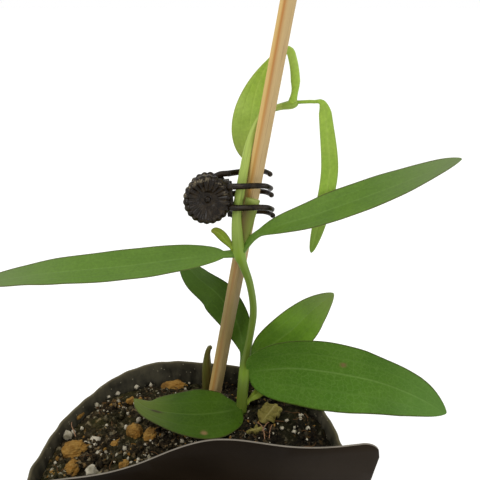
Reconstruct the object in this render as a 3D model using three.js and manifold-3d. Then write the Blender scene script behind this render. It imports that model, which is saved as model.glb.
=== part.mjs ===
import * as THREE from 'three';
import { mergeVertices } from 'three/addons/utils/BufferGeometryUtils.js';
import Module from 'manifold-3d';

// A young clematis in a thin round nursery pot, tied to a split cane by a spring clip.
// Millimetres, +Z up, origin at the centre of the pot's base, the best side facing -Y.

const wasm = await Module();
wasm.setup();

const gap = 0.3; // clearance kept between two pieces that touch

// Pot: a thin moulded taper with no lip, its rim pushed gently out of round.
const potHeight = 88;
const rimRadius = 50;
const baseRadius = 36;
const potWall = 1;
const potFloor = 1.6;
const rimWaves = [
  { lobes: 5, depth: 1.1, at: 118 },
  { lobes: 3, depth: 0.7, at: 125 },
  { lobes: 2, depth: 0.5, at: 160 },
];
const drain = { count: 6, radius: 4, ring: 24 };

// Potting mix: filled to about 4 mm under the rim, lumpy, sinking away along the back wall.
const soilLevel = 83.4;
const soilDome = 0.8;
const soilLump = 0.45;
const soilFall = { from: 28, over: 20, depth: 4.6 };

// Bark chunks half sunk in the mix: x, y, length, width, height, turn in degrees.
const barkChunks = [
  [-40.0, 4.6, 8.4, 6.6, 5.2, 20],
  [-39.2, -2.4, 4.6, 5.4, 3.6, -35],
  [-27.3, 7.0, 3.6, 3.4, 3.0, 10],
  [-21.5, 13.6, 5.0, 6.2, 3.8, 50],
  [-15.6, 11.5, 4.4, 6.0, 3.4, -20],
  [-22.3, -1.7, 3.4, 2.8, 2.6, 0],
  [-26.2, 29.6, 3.4, 2.8, 2.4, 30],
  [-10.2, 41.2, 9.6, 4.4, 3.6, 14],
];

// Split cane, a rounded square on edge, leaning to the right and a little back.
const caneLow = [-5.3, 32.3, 20];
const caneHigh = [32.6, 40.6, 240];
const caneWidth = 4.1;
const caneRound = 1;

// Main stem from the root collar to the growing tip: x, y, z, radius.
const stemRoute = [
  [16.0, 23.8, 66, 0.7],
  [16.2, 24.0, 76, 1.2],
  [16.3, 24.4, 83.5, 1.45],
  [16.1, 26.2, 92, 1.3],
  [16.8, 29.0, 99, 1.6],
  [18.6, 30.2, 109, 1.1],
  [20.3, 31.2, 122, 1.05],
  [19.0, 31.9, 133, 1.15],
  [16.5, 32.2, 141, 1.6],
  [15.3, 32.2, 145, 2.2],
  [14.5, 32.5, 152, 1.95],
  [14.4, 34.4, 159, 1.5],
  [15.4, 35.8, 166, 1.4],
  [16.7, 37.5, 173, 1.3],
  [18.3, 39.6, 180, 1.25],
  [20.7, 41.8, 186, 1.1],
  [23.6, 43.9, 190, 1.05],
  [28.1, 44.1, 191.6, 1.0],
  [32.2, 43.4, 192.6, 1.35],
  [34.2, 42.8, 193.7, 0.8],
];

// Leaves: spine from the stem's axis to the tip, greatest half width, where it falls,
// how blunt the tip is, roll of the blade at base and tip, how far the halves fold up,
// and the share of the length that is stalk. Roll 0 faces the front. A neck is the half
// width of the strap that a young leaf has in place of a thin stalk.
const leaves = {
  long_leaf_left: {
    spine: [[15.4, 32.5, 144.8], [-0.4, 33.0, 143], [-23, 27.1, 142.6],
      [-50.3, 24.3, 141.1], [-74.4, 20.7, 138.6]],
    half: 7.1, widest: 0.37, blunt: 0.76, roll: [-70, -69], fold: 7, stalk: 0.06, color: '#4f7a34' },
  long_leaf_right: {
    spine: [[15.8, 32.6, 145.2], [22.8, 31.4, 153.1], [40.2, 29.4, 160.1],
      [61.5, 27.3, 169.5], [81.6, 23.9, 180.1]],
    half: 6.7, widest: 0.5, blunt: 0.66, roll: [59, 72], fold: 10, stalk: 0.12, color: '#4f7f36' },
  broad_leaf_right: {
    spine: [[16.8, 29, 98.3], [36.1, 26.7, 102.7], [58.8, 19.3, 103.5],
      [71.8, 11.7, 103.2], [83.7, 6.6, 98.8]],
    half: 15.1, widest: 0.34, blunt: 0.86, roll: [-2, 17], fold: 23, stalk: 0.02, color: '#3f6f24' },
  upright_leaf_right: {
    spine: [[16.9, 29.2, 99.2], [24.4, 35, 103.4], [34.6, 38.9, 109.4], [42.6, 42, 116.4], [51, 45, 122.2]],
    half: 9.3, widest: 0.48, blunt: 0.69, roll: [9, -15], fold: 8, stalk: 0.08, color: '#5a8430' },
  dark_leaf_behind: {
    spine: [[16.9, 29.3, 100], [15, 40.9, 110.4], [7.6, 47, 120], [-0.8, 51.1, 125.8], [-7.5, 53, 133.2]],
    half: 8.4, widest: 0.55, blunt: 0.75, roll: [5, 24], fold: 10, stalk: 0.1, color: '#3f5f2c' },
  low_leaf_left: {
    spine: [[16.2, 24.6, 85.3], [10.6, 21.5, 86.1], [-1.3, 17.9, 88],
      [-15.4, 16.8, 91.3], [-22.4, 20.1, 93.2]],
    half: 12.4, widest: 0.46, blunt: 1, roll: [-81, -104], fold: 3, stalk: 0.02, color: '#40611f' },
  arched_young_leaf: {
    spine: [[32.3, 43.4, 192.8], [33.2, 44.3, 198.5], [32.2, 45.2, 205.9], [30.1, 46.4, 208.8],
      [23.5, 47.2, 203.2], [19.5, 47.6, 190.5], [18.2, 47.4, 172.6]],
    half: 6.1, widest: 0.63, blunt: 0.75, roll: [-3, -1], fold: 5, stalk: 0.36, neck: 1.6, color: '#86a944' },
  drooping_young_leaf: {
    spine: [[34, 42.9, 193.4], [38.5, 39.6, 194.1], [41.3, 38, 193.7], [42.8, 37.5, 187.1],
      [44.8, 37.5, 171.8], [43.1, 37.3, 157.2], [40.3, 37, 142.9]],
    half: 2.8, widest: 0.53, blunt: 0.51, roll: [-1, -2], fold: 3, stalk: 0.12, neck: 1.7, color: '#86a63c' },
  axil_bud_leaf: {
    spine: [[13.6, 32.0, 146.4], [8.7, 31, 153], [6.1, 30.6, 154.2]],
    half: 1.7, widest: 0.58, blunt: 0.44, roll: [0, 0], fold: 5, stalk: 0.1, color: '#7c9a2c' },
  basal_leaflet: {
    spine: [[16.3, 24.9, 85.2], [20.3, 27.4, 88], [26.6, 31.4, 91]],
    half: 2.3, widest: 0.6, blunt: 0.6, roll: [0, 10], fold: 12, stalk: 0.2, color: '#7d8f2c' },
};
const leafThickness = 0.5;
const stalkRadius = 0.9;

// Shoot cut short beside the main stem, flattened against the cane: x, y, z, radius.
const cutShoot = [
  [16.3, 32.4, 146, 1.4],
  [17.2, 32.9, 152, 1.9],
  [18.4, 33.2, 158, 2.2],
  [19.8, 33.4, 164, 2.4],
];
const cutShootFlat = 0.42;

// Dry shoot that died back behind the cane: x, y, z, radius.
const dryShoot = [
  [2.6, 39, 66, 1.0],
  [2.8, 39, 78, 1.35],
  [3.3, 39.2, 90, 1.3],
  [3.6, 39.3, 98, 0.95],
  [4.4, 39.2, 102, 0.7],
];

// Withered leaf scraps lying on the mix.
const scraps = {
  withered_leaf_large: { spine: [[29.2, 25.5, 85.5], [26.1, 20.5, 85.6], [22.4, 15.4, 85.1]],
    half: 3.3, widest: 0.42, blunt: 0.5, roll: [82, 94], fold: -14, stalk: 0.04, color: '#a8a86a' },
  withered_leaf_small: { spine: [[23.1, 14.5, 84.9], [20.6, 13.2, 85.5], [17.8, 12.2, 85.2]],
    half: 1.7, widest: 0.5, blunt: 0.4, roll: [-84, -96], fold: -22, stalk: 0.04, color: '#8b8a4c' },
};

// Plant label: a die-cut plastic card, tapering to a tail pushed into the mix.
const label = {
  width: 84, hump: 7.7, humpSpread: 18, corner: 3.5, sideDrop: 17, taper: 4, headHeight: 41,
  tailWidth: 14, tailLength: 48, thickness: 0.7,
  foot: [13.6, -26.6, 81.4], turn: 10, tilt: 12,
};

// Spring clip: its own frame has +X along the tines, +Y to the back, +Z along the hinge.
const clip = {
  hinge: [11, 36.6, 164.9], rise: 4.5, tilt: 10, splay: 10,
  pinRadius: 0.5, pinHole: 0.8, lugRadius: 1.4, lugInner: 3, lugOuter: 4.4,
  plateNear: 2.2, plateFar: 3.3, plateLeft: -3.4, plateRight: 0.8,
  padRadius: 7.9, padCentre: -6.6, padDrop: 1, flutes: 22, fluteDepth: 0.4,
  tineRadius: 0.9,
};
// Tines seen from above, each point with how far it droops: x, y, drop.
const frontTine = [
  [0.3, -2.9, 0],
  [3.2, -4.4, 0],
  [6.5, -5.4, 0],
  [10, -5.6, 0.1],
  [13, -4.6, 0.6],
  [14.4, -2.8, 1.5],
  [14.7, -1.2, 2.1],
];
const rearTine = [
  [0.3, 2.9, 0],
  [3.2, 4.7, 0],
  [7, 6.2, 0],
  [10.5, 6.1, 0.1],
  [13.2, 4.8, 0.4],
  [14.8, 2.6, 1],
  [15, 1.4, 1.4],
];
const frontTineHeights = [2.6, -4.4];
const rearTineHeights = [6, -1, -8];
const spring = { radius: 1.3, wire: 0.2, turns: 3.5, length: 1.6, leg: 1.2 };

const degrees = Math.PI / 180;
const vec = (p) => new THREE.Vector3(p[0], p[1], p[2]);

function toSolid(geometry) {
  const bare = geometry.clone();
  bare.deleteAttribute('normal');
  bare.deleteAttribute('uv');
  const merged = mergeVertices(bare, 1e-4);
  return new wasm.Manifold(new wasm.Mesh({
    numProp: 3,
    vertProperties: new Float32Array(merged.attributes.position.array),
    triVerts: new Uint32Array(merged.index.array),
  }));
}

function toGeometry(solid) {
  const mesh = solid.getMesh();
  const geometry = new THREE.BufferGeometry();
  geometry.setAttribute('position', new THREE.BufferAttribute(new Float32Array(mesh.vertProperties), 3));
  geometry.setIndex(new THREE.BufferAttribute(new Uint32Array(mesh.triVerts), 1));
  return geometry;
}

function join(...geometries) {
  return toGeometry(geometries.map(toSolid).reduce((whole, piece) => whole.add(piece)));
}

function cut(geometry, ...tools) {
  return toGeometry(tools.map(toSolid).reduce((whole, tool) => whole.subtract(tool), toSolid(geometry)));
}

// Closed skin through a row of rings with equal point counts, capped at both ends.
function loft(rings) {
  const count = rings[0].length;
  const points = rings.flat();
  const index = [];
  const at = (ring, i) => ring * count + (i % count);
  for (let ring = 0; ring < rings.length - 1; ring++) {
    for (let i = 0; i < count; i++) {
      index.push(at(ring, i), at(ring, i + 1), at(ring + 1, i + 1));
      index.push(at(ring, i), at(ring + 1, i + 1), at(ring + 1, i));
    }
  }
  for (const [ring, step] of [[0, -1], [rings.length - 1, 1]]) {
    const centre = rings[ring].reduce((sum, p) => sum.add(p), new THREE.Vector3()).divideScalar(count);
    const middle = points.push(centre) - 1;
    for (let i = 0; i < count; i++) {
      const pair = step > 0 ? [at(ring, i), at(ring, i + 1)] : [at(ring, i + 1), at(ring, i)];
      index.push(middle, ...pair);
    }
  }
  const geometry = new THREE.BufferGeometry().setFromPoints(points);
  geometry.setIndex(index);
  return geometry;
}

// Round or flattened rod along rows of x, y, z, radius, with flat ends.
function rod(rows, { steps, sides = 8, grow = 0, flat = 1 }) {
  const curve = new THREE.CatmullRomCurve3(rows.map(vec), false, 'catmullrom');
  const frames = curve.computeFrenetFrames(steps, false);
  const rings = [];
  for (let i = 0; i <= steps; i++) {
    const share = curve.getUtoTmapping(i / steps) * (rows.length - 1);
    const row = Math.min(Math.floor(share), rows.length - 2);
    const radius = THREE.MathUtils.lerp(rows[row][3], rows[row + 1][3], share - row) + grow;
    const centre = curve.getPointAt(i / steps);
    if (i === 0) centre.addScaledVector(frames.tangents[0], -grow);
    if (i === steps) centre.addScaledVector(frames.tangents[steps], grow);
    const ring = [];
    for (let side = 0; side < sides; side++) {
      const angle = (side / sides) * 2 * Math.PI;
      const offset = frames.normals[i].clone().multiplyScalar(radius * Math.cos(angle));
      offset.addScaledVector(frames.binormals[i], radius * Math.sin(angle));
      offset.y *= flat;
      ring.push(centre.clone().add(offset));
    }
    rings.push(ring);
  }
  return loft(rings);
}

// Blade and stalk of one leaf in one piece: a thin folded plate that narrows to a stalk.
function leafShape(leaf, steps = 14) {
  const curve = new THREE.CatmullRomCurve3(leaf.spine.map(vec), false, 'catmullrom');
  const front = new THREE.Vector3(0, -1, 0);
  const before = (leaf.widest * leaf.blunt) / (1 - leaf.widest);
  const peak = leaf.widest ** before * (1 - leaf.widest) ** leaf.blunt;
  const fold = leaf.fold * degrees;
  const rings = [];
  for (let i = 0; i <= steps; i++) {
    const along = Math.min(i / steps, 0.985);
    const tangent = curve.getTangentAt(along);
    const side = tangent.clone().cross(front).normalize();
    const normal = side.clone().cross(tangent);
    const roll = THREE.MathUtils.lerp(leaf.roll[0], leaf.roll[1], along) * degrees;
    const across = side.clone().multiplyScalar(Math.cos(roll)).addScaledVector(normal, Math.sin(roll));
    const up = normal.multiplyScalar(Math.cos(roll)).addScaledVector(side, -Math.sin(roll));
    const blade = Math.max(0, (along - leaf.stalk) / (1 - leaf.stalk));
    const stalk = stalkRadius * (1 - blade) ** 3;
    const neck = (leaf.neck ?? 0) * Math.min(1, along / 0.12) * (1 - along);
    const half = Math.max(stalk, neck, (leaf.half * blade ** before * (1 - blade) ** leaf.blunt) / peak);
    const thick = Math.max(leafThickness / 2, stalk * 0.8);
    const edge = leafThickness / 2;
    const centre = curve.getPointAt(along);
    const place = (x, y) => centre.clone().addScaledVector(across, x).addScaledVector(up, y);
    const out = half * Math.cos(fold);
    const lift = half * Math.sin(fold);
    rings.push([place(0, thick), place(out, lift + edge), place(out, lift - edge),
      place(0, -thick), place(-out, lift - edge), place(-out, lift + edge)]);
  }
  return loft(rings);
}

function rimWave(angle, height) {
  const push = rimWaves.reduce((sum, wave) =>
    sum + wave.depth * Math.cos(wave.lobes * (angle - wave.at * degrees)), 0);
  return push * Math.max(0, height / potHeight) ** 3;
}

// Moves every point of a turned shape outwards with the pot's out-of-round wall.
function followRim(geometry) {
  const position = geometry.attributes.position;
  for (let i = 0; i < position.count; i++) {
    const x = position.getX(i);
    const y = position.getY(i);
    const radius = Math.hypot(x, y);
    if (radius < 1e-6) continue;
    const share = Math.min(1, radius / 30);
    const moved = radius + share * rimWave(Math.atan2(y, x), position.getZ(i));
    position.setXY(i, (x / radius) * moved, (y / radius) * moved);
  }
  return geometry;
}

function turned(profile, segments) {
  const geometry = new THREE.LatheGeometry(profile.map((p) => new THREE.Vector2(p[0], p[1])), segments);
  return geometry.rotateX(Math.PI / 2);
}

function outerRadius(height) {
  return THREE.MathUtils.lerp(baseRadius, rimRadius, height / potHeight);
}

function nurseryPot() {
  const levels = [4, 24, 44, 62, 76, potHeight];
  const outside = levels.map((z) => [outerRadius(z), z]);
  const inside = [...levels].reverse().map((z) => [outerRadius(z) - potWall, z]);
  const floor = [[baseRadius - potWall - 1, potFloor], [0, potFloor]];
  const profile = [[0, 0], [baseRadius - 1.6, 0], ...outside, ...inside, ...floor];
  const holes = [];
  for (let i = 0; i < drain.count; i++) {
    const hole = new THREE.CylinderGeometry(drain.radius, drain.radius, 8, 16).rotateX(Math.PI / 2);
    const angle = (i / drain.count) * 2 * Math.PI;
    holes.push(hole.translate(drain.ring * Math.cos(angle), drain.ring * Math.sin(angle), 0));
  }
  return cut(followRim(turned(profile, 56)), ...holes);
}

function soilHeight(x, y) {
  const dome = soilDome * (1 - (x * x + y * y) / rimRadius ** 2);
  const lumps = Math.sin(x / 4.1 + 1) * Math.cos(y / 5.3) + 0.6 * Math.sin(x / 2.3 - y / 3.1);
  const fall = soilFall.depth * THREE.MathUtils.smoothstep(y, soilFall.from, soilFall.from + soilFall.over);
  return soilLevel + dome + soilLump * lumps - fall;
}

function barkChunk([x, y, length, width, height, turn], grow = 0) {
  const lump = new THREE.IcosahedronGeometry(0.5, 1);
  const position = lump.attributes.position;
  for (let i = 0; i < position.count; i++) {
    const p = new THREE.Vector3().fromBufferAttribute(position, i);
    const bump = 1 + 0.14 * Math.sin(7 * p.x + x) * Math.cos(6 * p.y + y) + 0.08 * Math.sin(9 * p.z + x);
    position.setXYZ(i, p.x * bump, p.y * bump, p.z * bump);
  }
  lump.scale(length + 2 * grow, width + 2 * grow, height + 2 * grow).rotateZ(turn * degrees);
  return lump.translate(x, y, soilHeight(x, y) + height * 0.12);
}

function labelCard(grow = 0) {
  const half = label.width / 2 + grow;
  const shape = new THREE.Shape();
  const top = label.headHeight + grow;
  const tail = label.tailWidth / 2 + grow;
  const hump = (x) => top + label.hump * Math.exp(-((x / label.humpSpread) ** 2));
  shape.moveTo(-tail, -label.tailLength - grow);
  shape.lineTo(tail, -label.tailLength - grow);
  shape.lineTo(tail, -1);
  const sideEnd = top - label.sideDrop - label.corner;
  shape.bezierCurveTo(tail, 4, half - label.taper - 6, 8, half - label.taper, sideEnd);
  shape.lineTo(half, top - label.corner);
  shape.quadraticCurveTo(half, top, half - label.corner, top);
  for (let x = half - label.corner - 4; x > -half + label.corner; x -= 4) shape.lineTo(x, hump(x));
  shape.lineTo(-half + label.corner, top);
  shape.quadraticCurveTo(-half, top, -half, top - label.corner);
  shape.lineTo(-half + label.taper, sideEnd);
  shape.bezierCurveTo(-half + label.taper + 6, 8, -tail, 4, -tail, -1);
  const depth = label.thickness + 2 * grow;
  const card = new THREE.ExtrudeGeometry(shape, { depth, bevelEnabled: false, curveSegments: 5 });
  card.translate(0, 0, -depth / 2).rotateZ(label.turn * degrees).rotateX((90 + label.tilt) * degrees);
  return card.translate(...label.foot);
}

function caneRod(grow = 0) {
  const half = caneWidth / 2 + grow;
  const round = caneRound + grow;
  const shape = new THREE.Shape();
  const corners = [[1, -1], [1, 1], [-1, 1], [-1, -1]];
  corners.forEach(([x, y], i) => {
    const start = Math.atan2(y, x) - Math.PI / 4;
    shape.absarc(x * (half - round), y * (half - round), round, start, start + Math.PI / 2, false);
  });
  shape.closePath();
  const reach = vec(caneHigh).sub(vec(caneLow));
  const depth = reach.length() + 2 * grow;
  const long = new THREE.ExtrudeGeometry(shape, { depth, bevelEnabled: false, curveSegments: 3 });
  long.translate(0, 0, -grow).rotateZ(Math.PI / 4);
  const lean = new THREE.Quaternion().setFromUnitVectors(new THREE.Vector3(0, 0, 1), reach.normalize());
  return long.applyQuaternion(lean).translate(...caneLow);
}

// One half of the clip: lever plate, ear-shaped lugs, fluted thumb pad and two curved tines.
function clipJaw(back, tine, heights, lugLow, lugHigh) {
  const plateThick = clip.plateFar - clip.plateNear;
  const plateLong = clip.plateRight - clip.plateLeft;
  const plate = new THREE.BoxGeometry(plateLong, plateThick, 2 * clip.lugOuter);
  plate.translate((clip.plateLeft + clip.plateRight) / 2, back * (clip.plateNear + plateThick / 2), 0);
  const lugs = [];
  for (const up of [1, -1]) {
    const middle = (up * (lugLow + lugHigh)) / 2;
    const cheek = new THREE.BoxGeometry(2 * clip.lugRadius, clip.plateNear + 0.4, lugHigh - lugLow);
    cheek.translate(-0.4, (back * (clip.plateNear + 0.4)) / 2, middle);
    const ear = new THREE.CylinderGeometry(clip.lugRadius, clip.lugRadius, lugHigh - lugLow, 20);
    lugs.push(cheek, ear.rotateX(Math.PI / 2).translate(0, 0, middle));
  }
  const rim = clip.padRadius;
  const dish = [[0, 0], [rim - 1.4, 0], [rim, 0.7], [rim - 0.2, 1.5], [rim - 1.3, 2.4], [rim - 2.1, 2.3]];
  dish.push([3, 1], [2.4, 0.6], [1.1, 0.6], [0.8, 1.1], [0, 1.3]);
  const pad = new THREE.LatheGeometry(dish.map((p) => new THREE.Vector2(...p)), clip.flutes * 3);
  const position = pad.attributes.position;
  for (let i = 0; i < position.count; i++) {
    const radius = Math.hypot(position.getX(i), position.getZ(i));
    const wave = Math.cos(clip.flutes * Math.atan2(position.getZ(i), position.getX(i)));
    const scale = 1 + (clip.fluteDepth * wave * Math.max(0, radius - 3)) / (rim - 3) / rim;
    position.setXYZ(i, position.getX(i) * scale, position.getY(i), position.getZ(i) * scale);
  }
  if (back < 0) pad.rotateX(Math.PI);
  pad.translate(clip.padCentre, back * clip.plateNear, -clip.padDrop);
  const lever = join(plate, pad, ...lugs).rotateZ(-back * clip.splay * degrees);
  const tines = heights.map((height) => {
    const rows = tine.map(([x, y, drop]) => [x, y, height - drop, clip.tineRadius]);
    return rod(rows, { steps: 16, sides: 8 });
  });
  const high = Math.max(...heights);
  const low = Math.min(...heights);
  const knuckle = new THREE.BoxGeometry(2.4, 1.3, high - low + 1.2);
  knuckle.translate(0.9, back * 3.1, (high + low) / 2);
  const bore = new THREE.CylinderGeometry(clip.pinHole, clip.pinHole, 20, 20).rotateX(Math.PI / 2);
  return cut(join(lever, knuckle, ...tines), bore);
}

function clipSpring() {
  const rows = [];
  const turnSteps = 10;
  const total = spring.turns * turnSteps;
  for (let i = 0; i <= total; i++) {
    const angle = (i / turnSteps) * 2 * Math.PI;
    const height = (i / total - 0.5) * spring.length;
    rows.push([spring.radius * Math.cos(angle), spring.radius * Math.sin(angle), height, spring.wire]);
  }
  const first = rows[0];
  const last = rows[rows.length - 1];
  rows.unshift([first[0], first[1] - spring.leg, first[2], spring.wire]);
  rows.push([last[0], last[1] - spring.leg, last[2], spring.wire]);
  return rod(rows, { steps: 70, sides: 6 });
}

const group = new THREE.Group();

function add(name, geometry, { color, roughness = 0.6, metalness = 0 }, parent = group) {
  const material = new THREE.MeshStandardMaterial({ color, roughness, metalness });
  const mesh = new THREE.Mesh(geometry, material);
  mesh.name = name;
  parent.add(mesh);
}

const stemSize = { steps: 60, sides: 8 };
const stemRoom = rod(stemRoute, { ...stemSize, grow: gap });
const cane = caneRod();
const caneRoom = caneRod(gap);

add('nursery_pot', nurseryPot(), { color: '#2b2926', roughness: 0.55 });
add('bamboo_stake', cane, { color: '#c09a66' });
add('main_stem', rod(stemRoute, stemSize), { color: '#7e9a3f' });

// Potting mix, cut clear of everything that stands or lies in it.
const soilSide = [[0, potFloor + gap], [baseRadius - 3, potFloor + gap]];
const soilGap = 0.4; // room for the wall's flat facets
for (const z of [6, 30, 54, soilLevel]) soilSide.push([outerRadius(z) - potWall - soilGap, z]);
for (let r = 44; r > 2; r -= 5) soilSide.push([r, soilLevel]);
soilSide.push([0, soilLevel]);
const mixBody = turned(soilSide, 48);
const mixPoints = mixBody.attributes.position;
for (let i = 0; i < mixPoints.count; i++) {
  const x = mixPoints.getX(i);
  const y = mixPoints.getY(i);
  if (mixPoints.getZ(i) < soilLevel - 0.1) continue;
  const height = soilHeight(x, y);
  const pull = Math.min(1, (outerRadius(height) - potWall - soilGap) / Math.hypot(x, y));
  mixPoints.setXYZ(i, x * pull, y * pull, height);
}
followRim(mixBody);
const dryRoom = rod(dryShoot, { steps: 12, grow: gap });
const chunkRooms = barkChunks.map((row) => barkChunk(row, gap));
const mix = cut(mixBody, stemRoom, caneRoom, dryRoom, labelCard(gap), ...chunkRooms);
add('potting_mix', mix, { color: '#2a211b', roughness: 0.95 });
barkChunks.forEach((row, i) => {
  add(`bark_chunk_${i + 1}`, barkChunk(row), { color: '#a9713a', roughness: 0.9 });
});

const shootRoom = rod(cutShoot, { steps: 10, flat: cutShootFlat, grow: gap / cutShootFlat });
for (const [name, leaf] of Object.entries({ ...leaves, ...scraps })) {
  add(name, cut(leafShape(leaf), stemRoom, shootRoom), { color: leaf.color, roughness: 0.5 });
}

const shoot = rod(cutShoot, { steps: 10, flat: cutShootFlat });
add('cut_side_shoot', cut(shoot, stemRoom, caneRoom), { color: '#8da344' });
add('dry_shoot', rod(dryShoot, { steps: 12 }), { color: '#5d5a2e' });
add('plant_label', labelCard(), { color: '#33291f', roughness: 0.4 });

const clipGroup = new THREE.Group();
clipGroup.position.set(...clip.hinge);
clipGroup.rotation.set(-clip.tilt * degrees, -clip.rise * degrees, 0);
group.add(clipGroup);
const clipPlastic = { color: '#2d2821', roughness: 0.35 };
const frontJaw = clipJaw(-1, frontTine, frontTineHeights, clip.lugInner, clip.lugOuter);
const rearJaw = clipJaw(1, rearTine, rearTineHeights, 1.3, clip.lugInner - gap);
const pinLong = 2 * clip.lugOuter + 0.6;
const pin = new THREE.CylinderGeometry(clip.pinRadius, clip.pinRadius, pinLong, 20).rotateX(Math.PI / 2);
const steel = { color: '#8c8c8a', roughness: 0.35, metalness: 0.9 };
add('clip_front_jaw', frontJaw, clipPlastic, clipGroup);
add('clip_rear_jaw', rearJaw, clipPlastic, clipGroup);
add('clip_hinge_pin', pin, steel, clipGroup);
add('clip_spring', clipSpring(), steel, clipGroup);

export default group;
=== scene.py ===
import math
import random

import bmesh
import bpy
import numpy as np
from mathutils import Matrix, Vector, noise


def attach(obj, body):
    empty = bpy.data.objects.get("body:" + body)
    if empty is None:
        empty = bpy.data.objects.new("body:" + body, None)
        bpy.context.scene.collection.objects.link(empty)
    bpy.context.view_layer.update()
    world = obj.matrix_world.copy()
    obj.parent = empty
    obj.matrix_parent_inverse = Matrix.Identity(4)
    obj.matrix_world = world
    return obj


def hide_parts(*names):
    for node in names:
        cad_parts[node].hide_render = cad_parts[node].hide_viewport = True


# Young clematis in a thin nursery pot, tied to a split cane, with a blank label in the mix.
# Settings are in millimetres, Blender works in metres, +Z is up and the label side faces -Y.

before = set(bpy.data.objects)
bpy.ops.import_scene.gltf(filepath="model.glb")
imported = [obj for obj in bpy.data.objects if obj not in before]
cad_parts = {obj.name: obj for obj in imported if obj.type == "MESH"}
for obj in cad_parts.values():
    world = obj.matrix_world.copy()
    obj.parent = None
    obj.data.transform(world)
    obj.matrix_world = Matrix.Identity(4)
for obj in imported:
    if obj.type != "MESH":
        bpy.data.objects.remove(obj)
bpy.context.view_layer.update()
print("frame loaded with", len(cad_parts), "nodes")

mm = 0.001
dice = random.Random(11)


def toLinear(hexColour):
    parts = [int(hexColour[i:i + 2], 16) / 255 for i in (1, 3, 5)]
    return [p / 12.92 if p <= 0.04045 else ((p + 0.055) / 1.055) ** 2.4 for p in parts] + [1.0]


# Adds one node: keyword settings are its properties, links maps a socket to a value or an output.
def addNode(tree, kind, links=None, **settings):
    made = tree.nodes.new(kind)
    for name, value in settings.items():
        setattr(made, name, value)
    for socket, source in (links or {}).items():
        if isinstance(source, bpy.types.NodeSocket):
            tree.links.new(source, made.inputs[socket])
        else:
            made.inputs[socket].default_value = source
    return made


def newMaterial(name, **sockets):
    material = bpy.data.materials.new(name)
    material.use_nodes = True
    tree = material.node_tree
    tree.nodes.clear()
    shader = addNode(tree, "ShaderNodeBsdfPrincipled")
    for socket, value in sockets.items():
        shader.inputs[socket.replace("_", " ")].default_value = value
    addNode(tree, "ShaderNodeOutputMaterial", {0: shader.outputs[0]})
    return material, tree, shader


# Scale of a pattern whose features are so many millimetres across.
def perMm(size):
    return 1 / (size * mm)


# Mixes two colours, each hex text or another node's output.
def blend(tree, share, first, second, kind="MIX"):
    first, second = [toLinear(c) if isinstance(c, str) else c for c in (first, second)]
    return addNode(tree, "ShaderNodeMix", {0: share, 6: first, 7: second}, data_type="RGBA",
                   blend_type=kind).outputs[2]


# Carries a value from one range over to another, clamped at both ends.
def remap(tree, value, low=0, high=1, toLow=0, toHigh=1):
    return addNode(tree, "ShaderNodeMapRange", {0: value, 1: low, 2: high, 3: toLow, 4: toHigh}).outputs[0]


def calc(tree, kind, one, two, clamped=False):
    return addNode(tree, "ShaderNodeMath", {0: one, 1: two}, operation=kind, use_clamp=clamped).outputs[0]


# Noise whose features are so many millimetres across.
def noiseNode(tree, place, size, detail=2, rough=0.5):
    return addNode(tree, "ShaderNodeTexNoise", {0: place, "Scale": perMm(size), "Detail": detail,
                                                "Roughness": rough}).outputs[0]


# The place pushed about a little by a noise, so that cells lose their straight sides.
def warped(tree, place, wander, share):
    return addNode(tree, "ShaderNodeMix", {0: share, 4: place, 5: wander.node.outputs["Color"]},
                   data_type="VECTOR").outputs[1]


# Noise drawn out along a rod: millimetres across its fibres and along them.
def drawnOut(tree, across, along, detail, rough=0.5):
    run = addNode(tree, "ShaderNodeUVMap", uv_map="run").outputs[0]
    stretch = addNode(tree, "ShaderNodeMapping", {0: run, "Scale": (1 / across, 1 / along, 1)})
    return addNode(tree, "ShaderNodeTexNoise", {0: stretch.outputs[0], "Scale": 1, "Detail": detail,
                                                "Roughness": rough}).outputs[0]


def objectPlace(tree):
    return addNode(tree, "ShaderNodeTexCoord").outputs["Object"]


# Reads a layer of values stored on the mesh's points.
def painted(tree, layer):
    return addNode(tree, "ShaderNodeAttribute", attribute_name=layer).outputs["Fac"]


# Leads outputs into the shader's sockets, named with _ for a space.
def feed(tree, shader, **outputs):
    for socket, output in outputs.items():
        tree.links.new(output, shader.inputs[socket.replace("_", " ")])


# Bump of the given depth in millimetres.
def bumpInto(tree, shader, height, strength, depth):
    bump = addNode(tree, "ShaderNodeBump", {"Height": height, "Strength": strength, "Distance": depth * mm})
    feed(tree, shader, Normal=bump.outputs[0])


# Material whose colour drifts between two tones.
def twoTone(name, size, first, second, detail=2, **sockets):
    material, tree, shader = newMaterial(name, **sockets)
    drift = noiseNode(tree, objectPlace(tree), size, detail)
    feed(tree, shader, Base_Color=blend(tree, drift, first, second))
    return material


def makePiece(name, points, faces, material, slot, replaces=(), body="plant",
              layers=None, uv=None, sharp=None):
    mesh = bpy.data.meshes.new(name)
    mesh.from_pydata((np.asarray(points, float) * mm).tolist(), [], faces)
    for layer, values in (layers or {}).items():
        mesh.attributes.new(layer, "FLOAT", "POINT").data.foreach_set("value", np.ravel(values))
    if uv is not None:
        corners = np.empty(len(mesh.loops), np.int32)
        mesh.loops.foreach_get("vertex_index", corners)
        mesh.uv_layers.new(name="run").data.foreach_set("uv", np.asarray(uv, float)[corners].ravel())
    mesh.polygons.foreach_set("use_smooth", [True] * len(mesh.polygons))
    if sharp:
        mesh.set_sharp_from_angle(angle=math.radians(sharp))
    for one in material if isinstance(material, (list, tuple)) else [material]:
        mesh.materials.append(one)
    mesh.update()
    piece = bpy.data.objects.new(name, mesh)
    bpy.context.scene.collection.objects.link(piece)
    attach(piece, body)
    if replaces:
        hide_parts(*replaces)
    return piece


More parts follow.
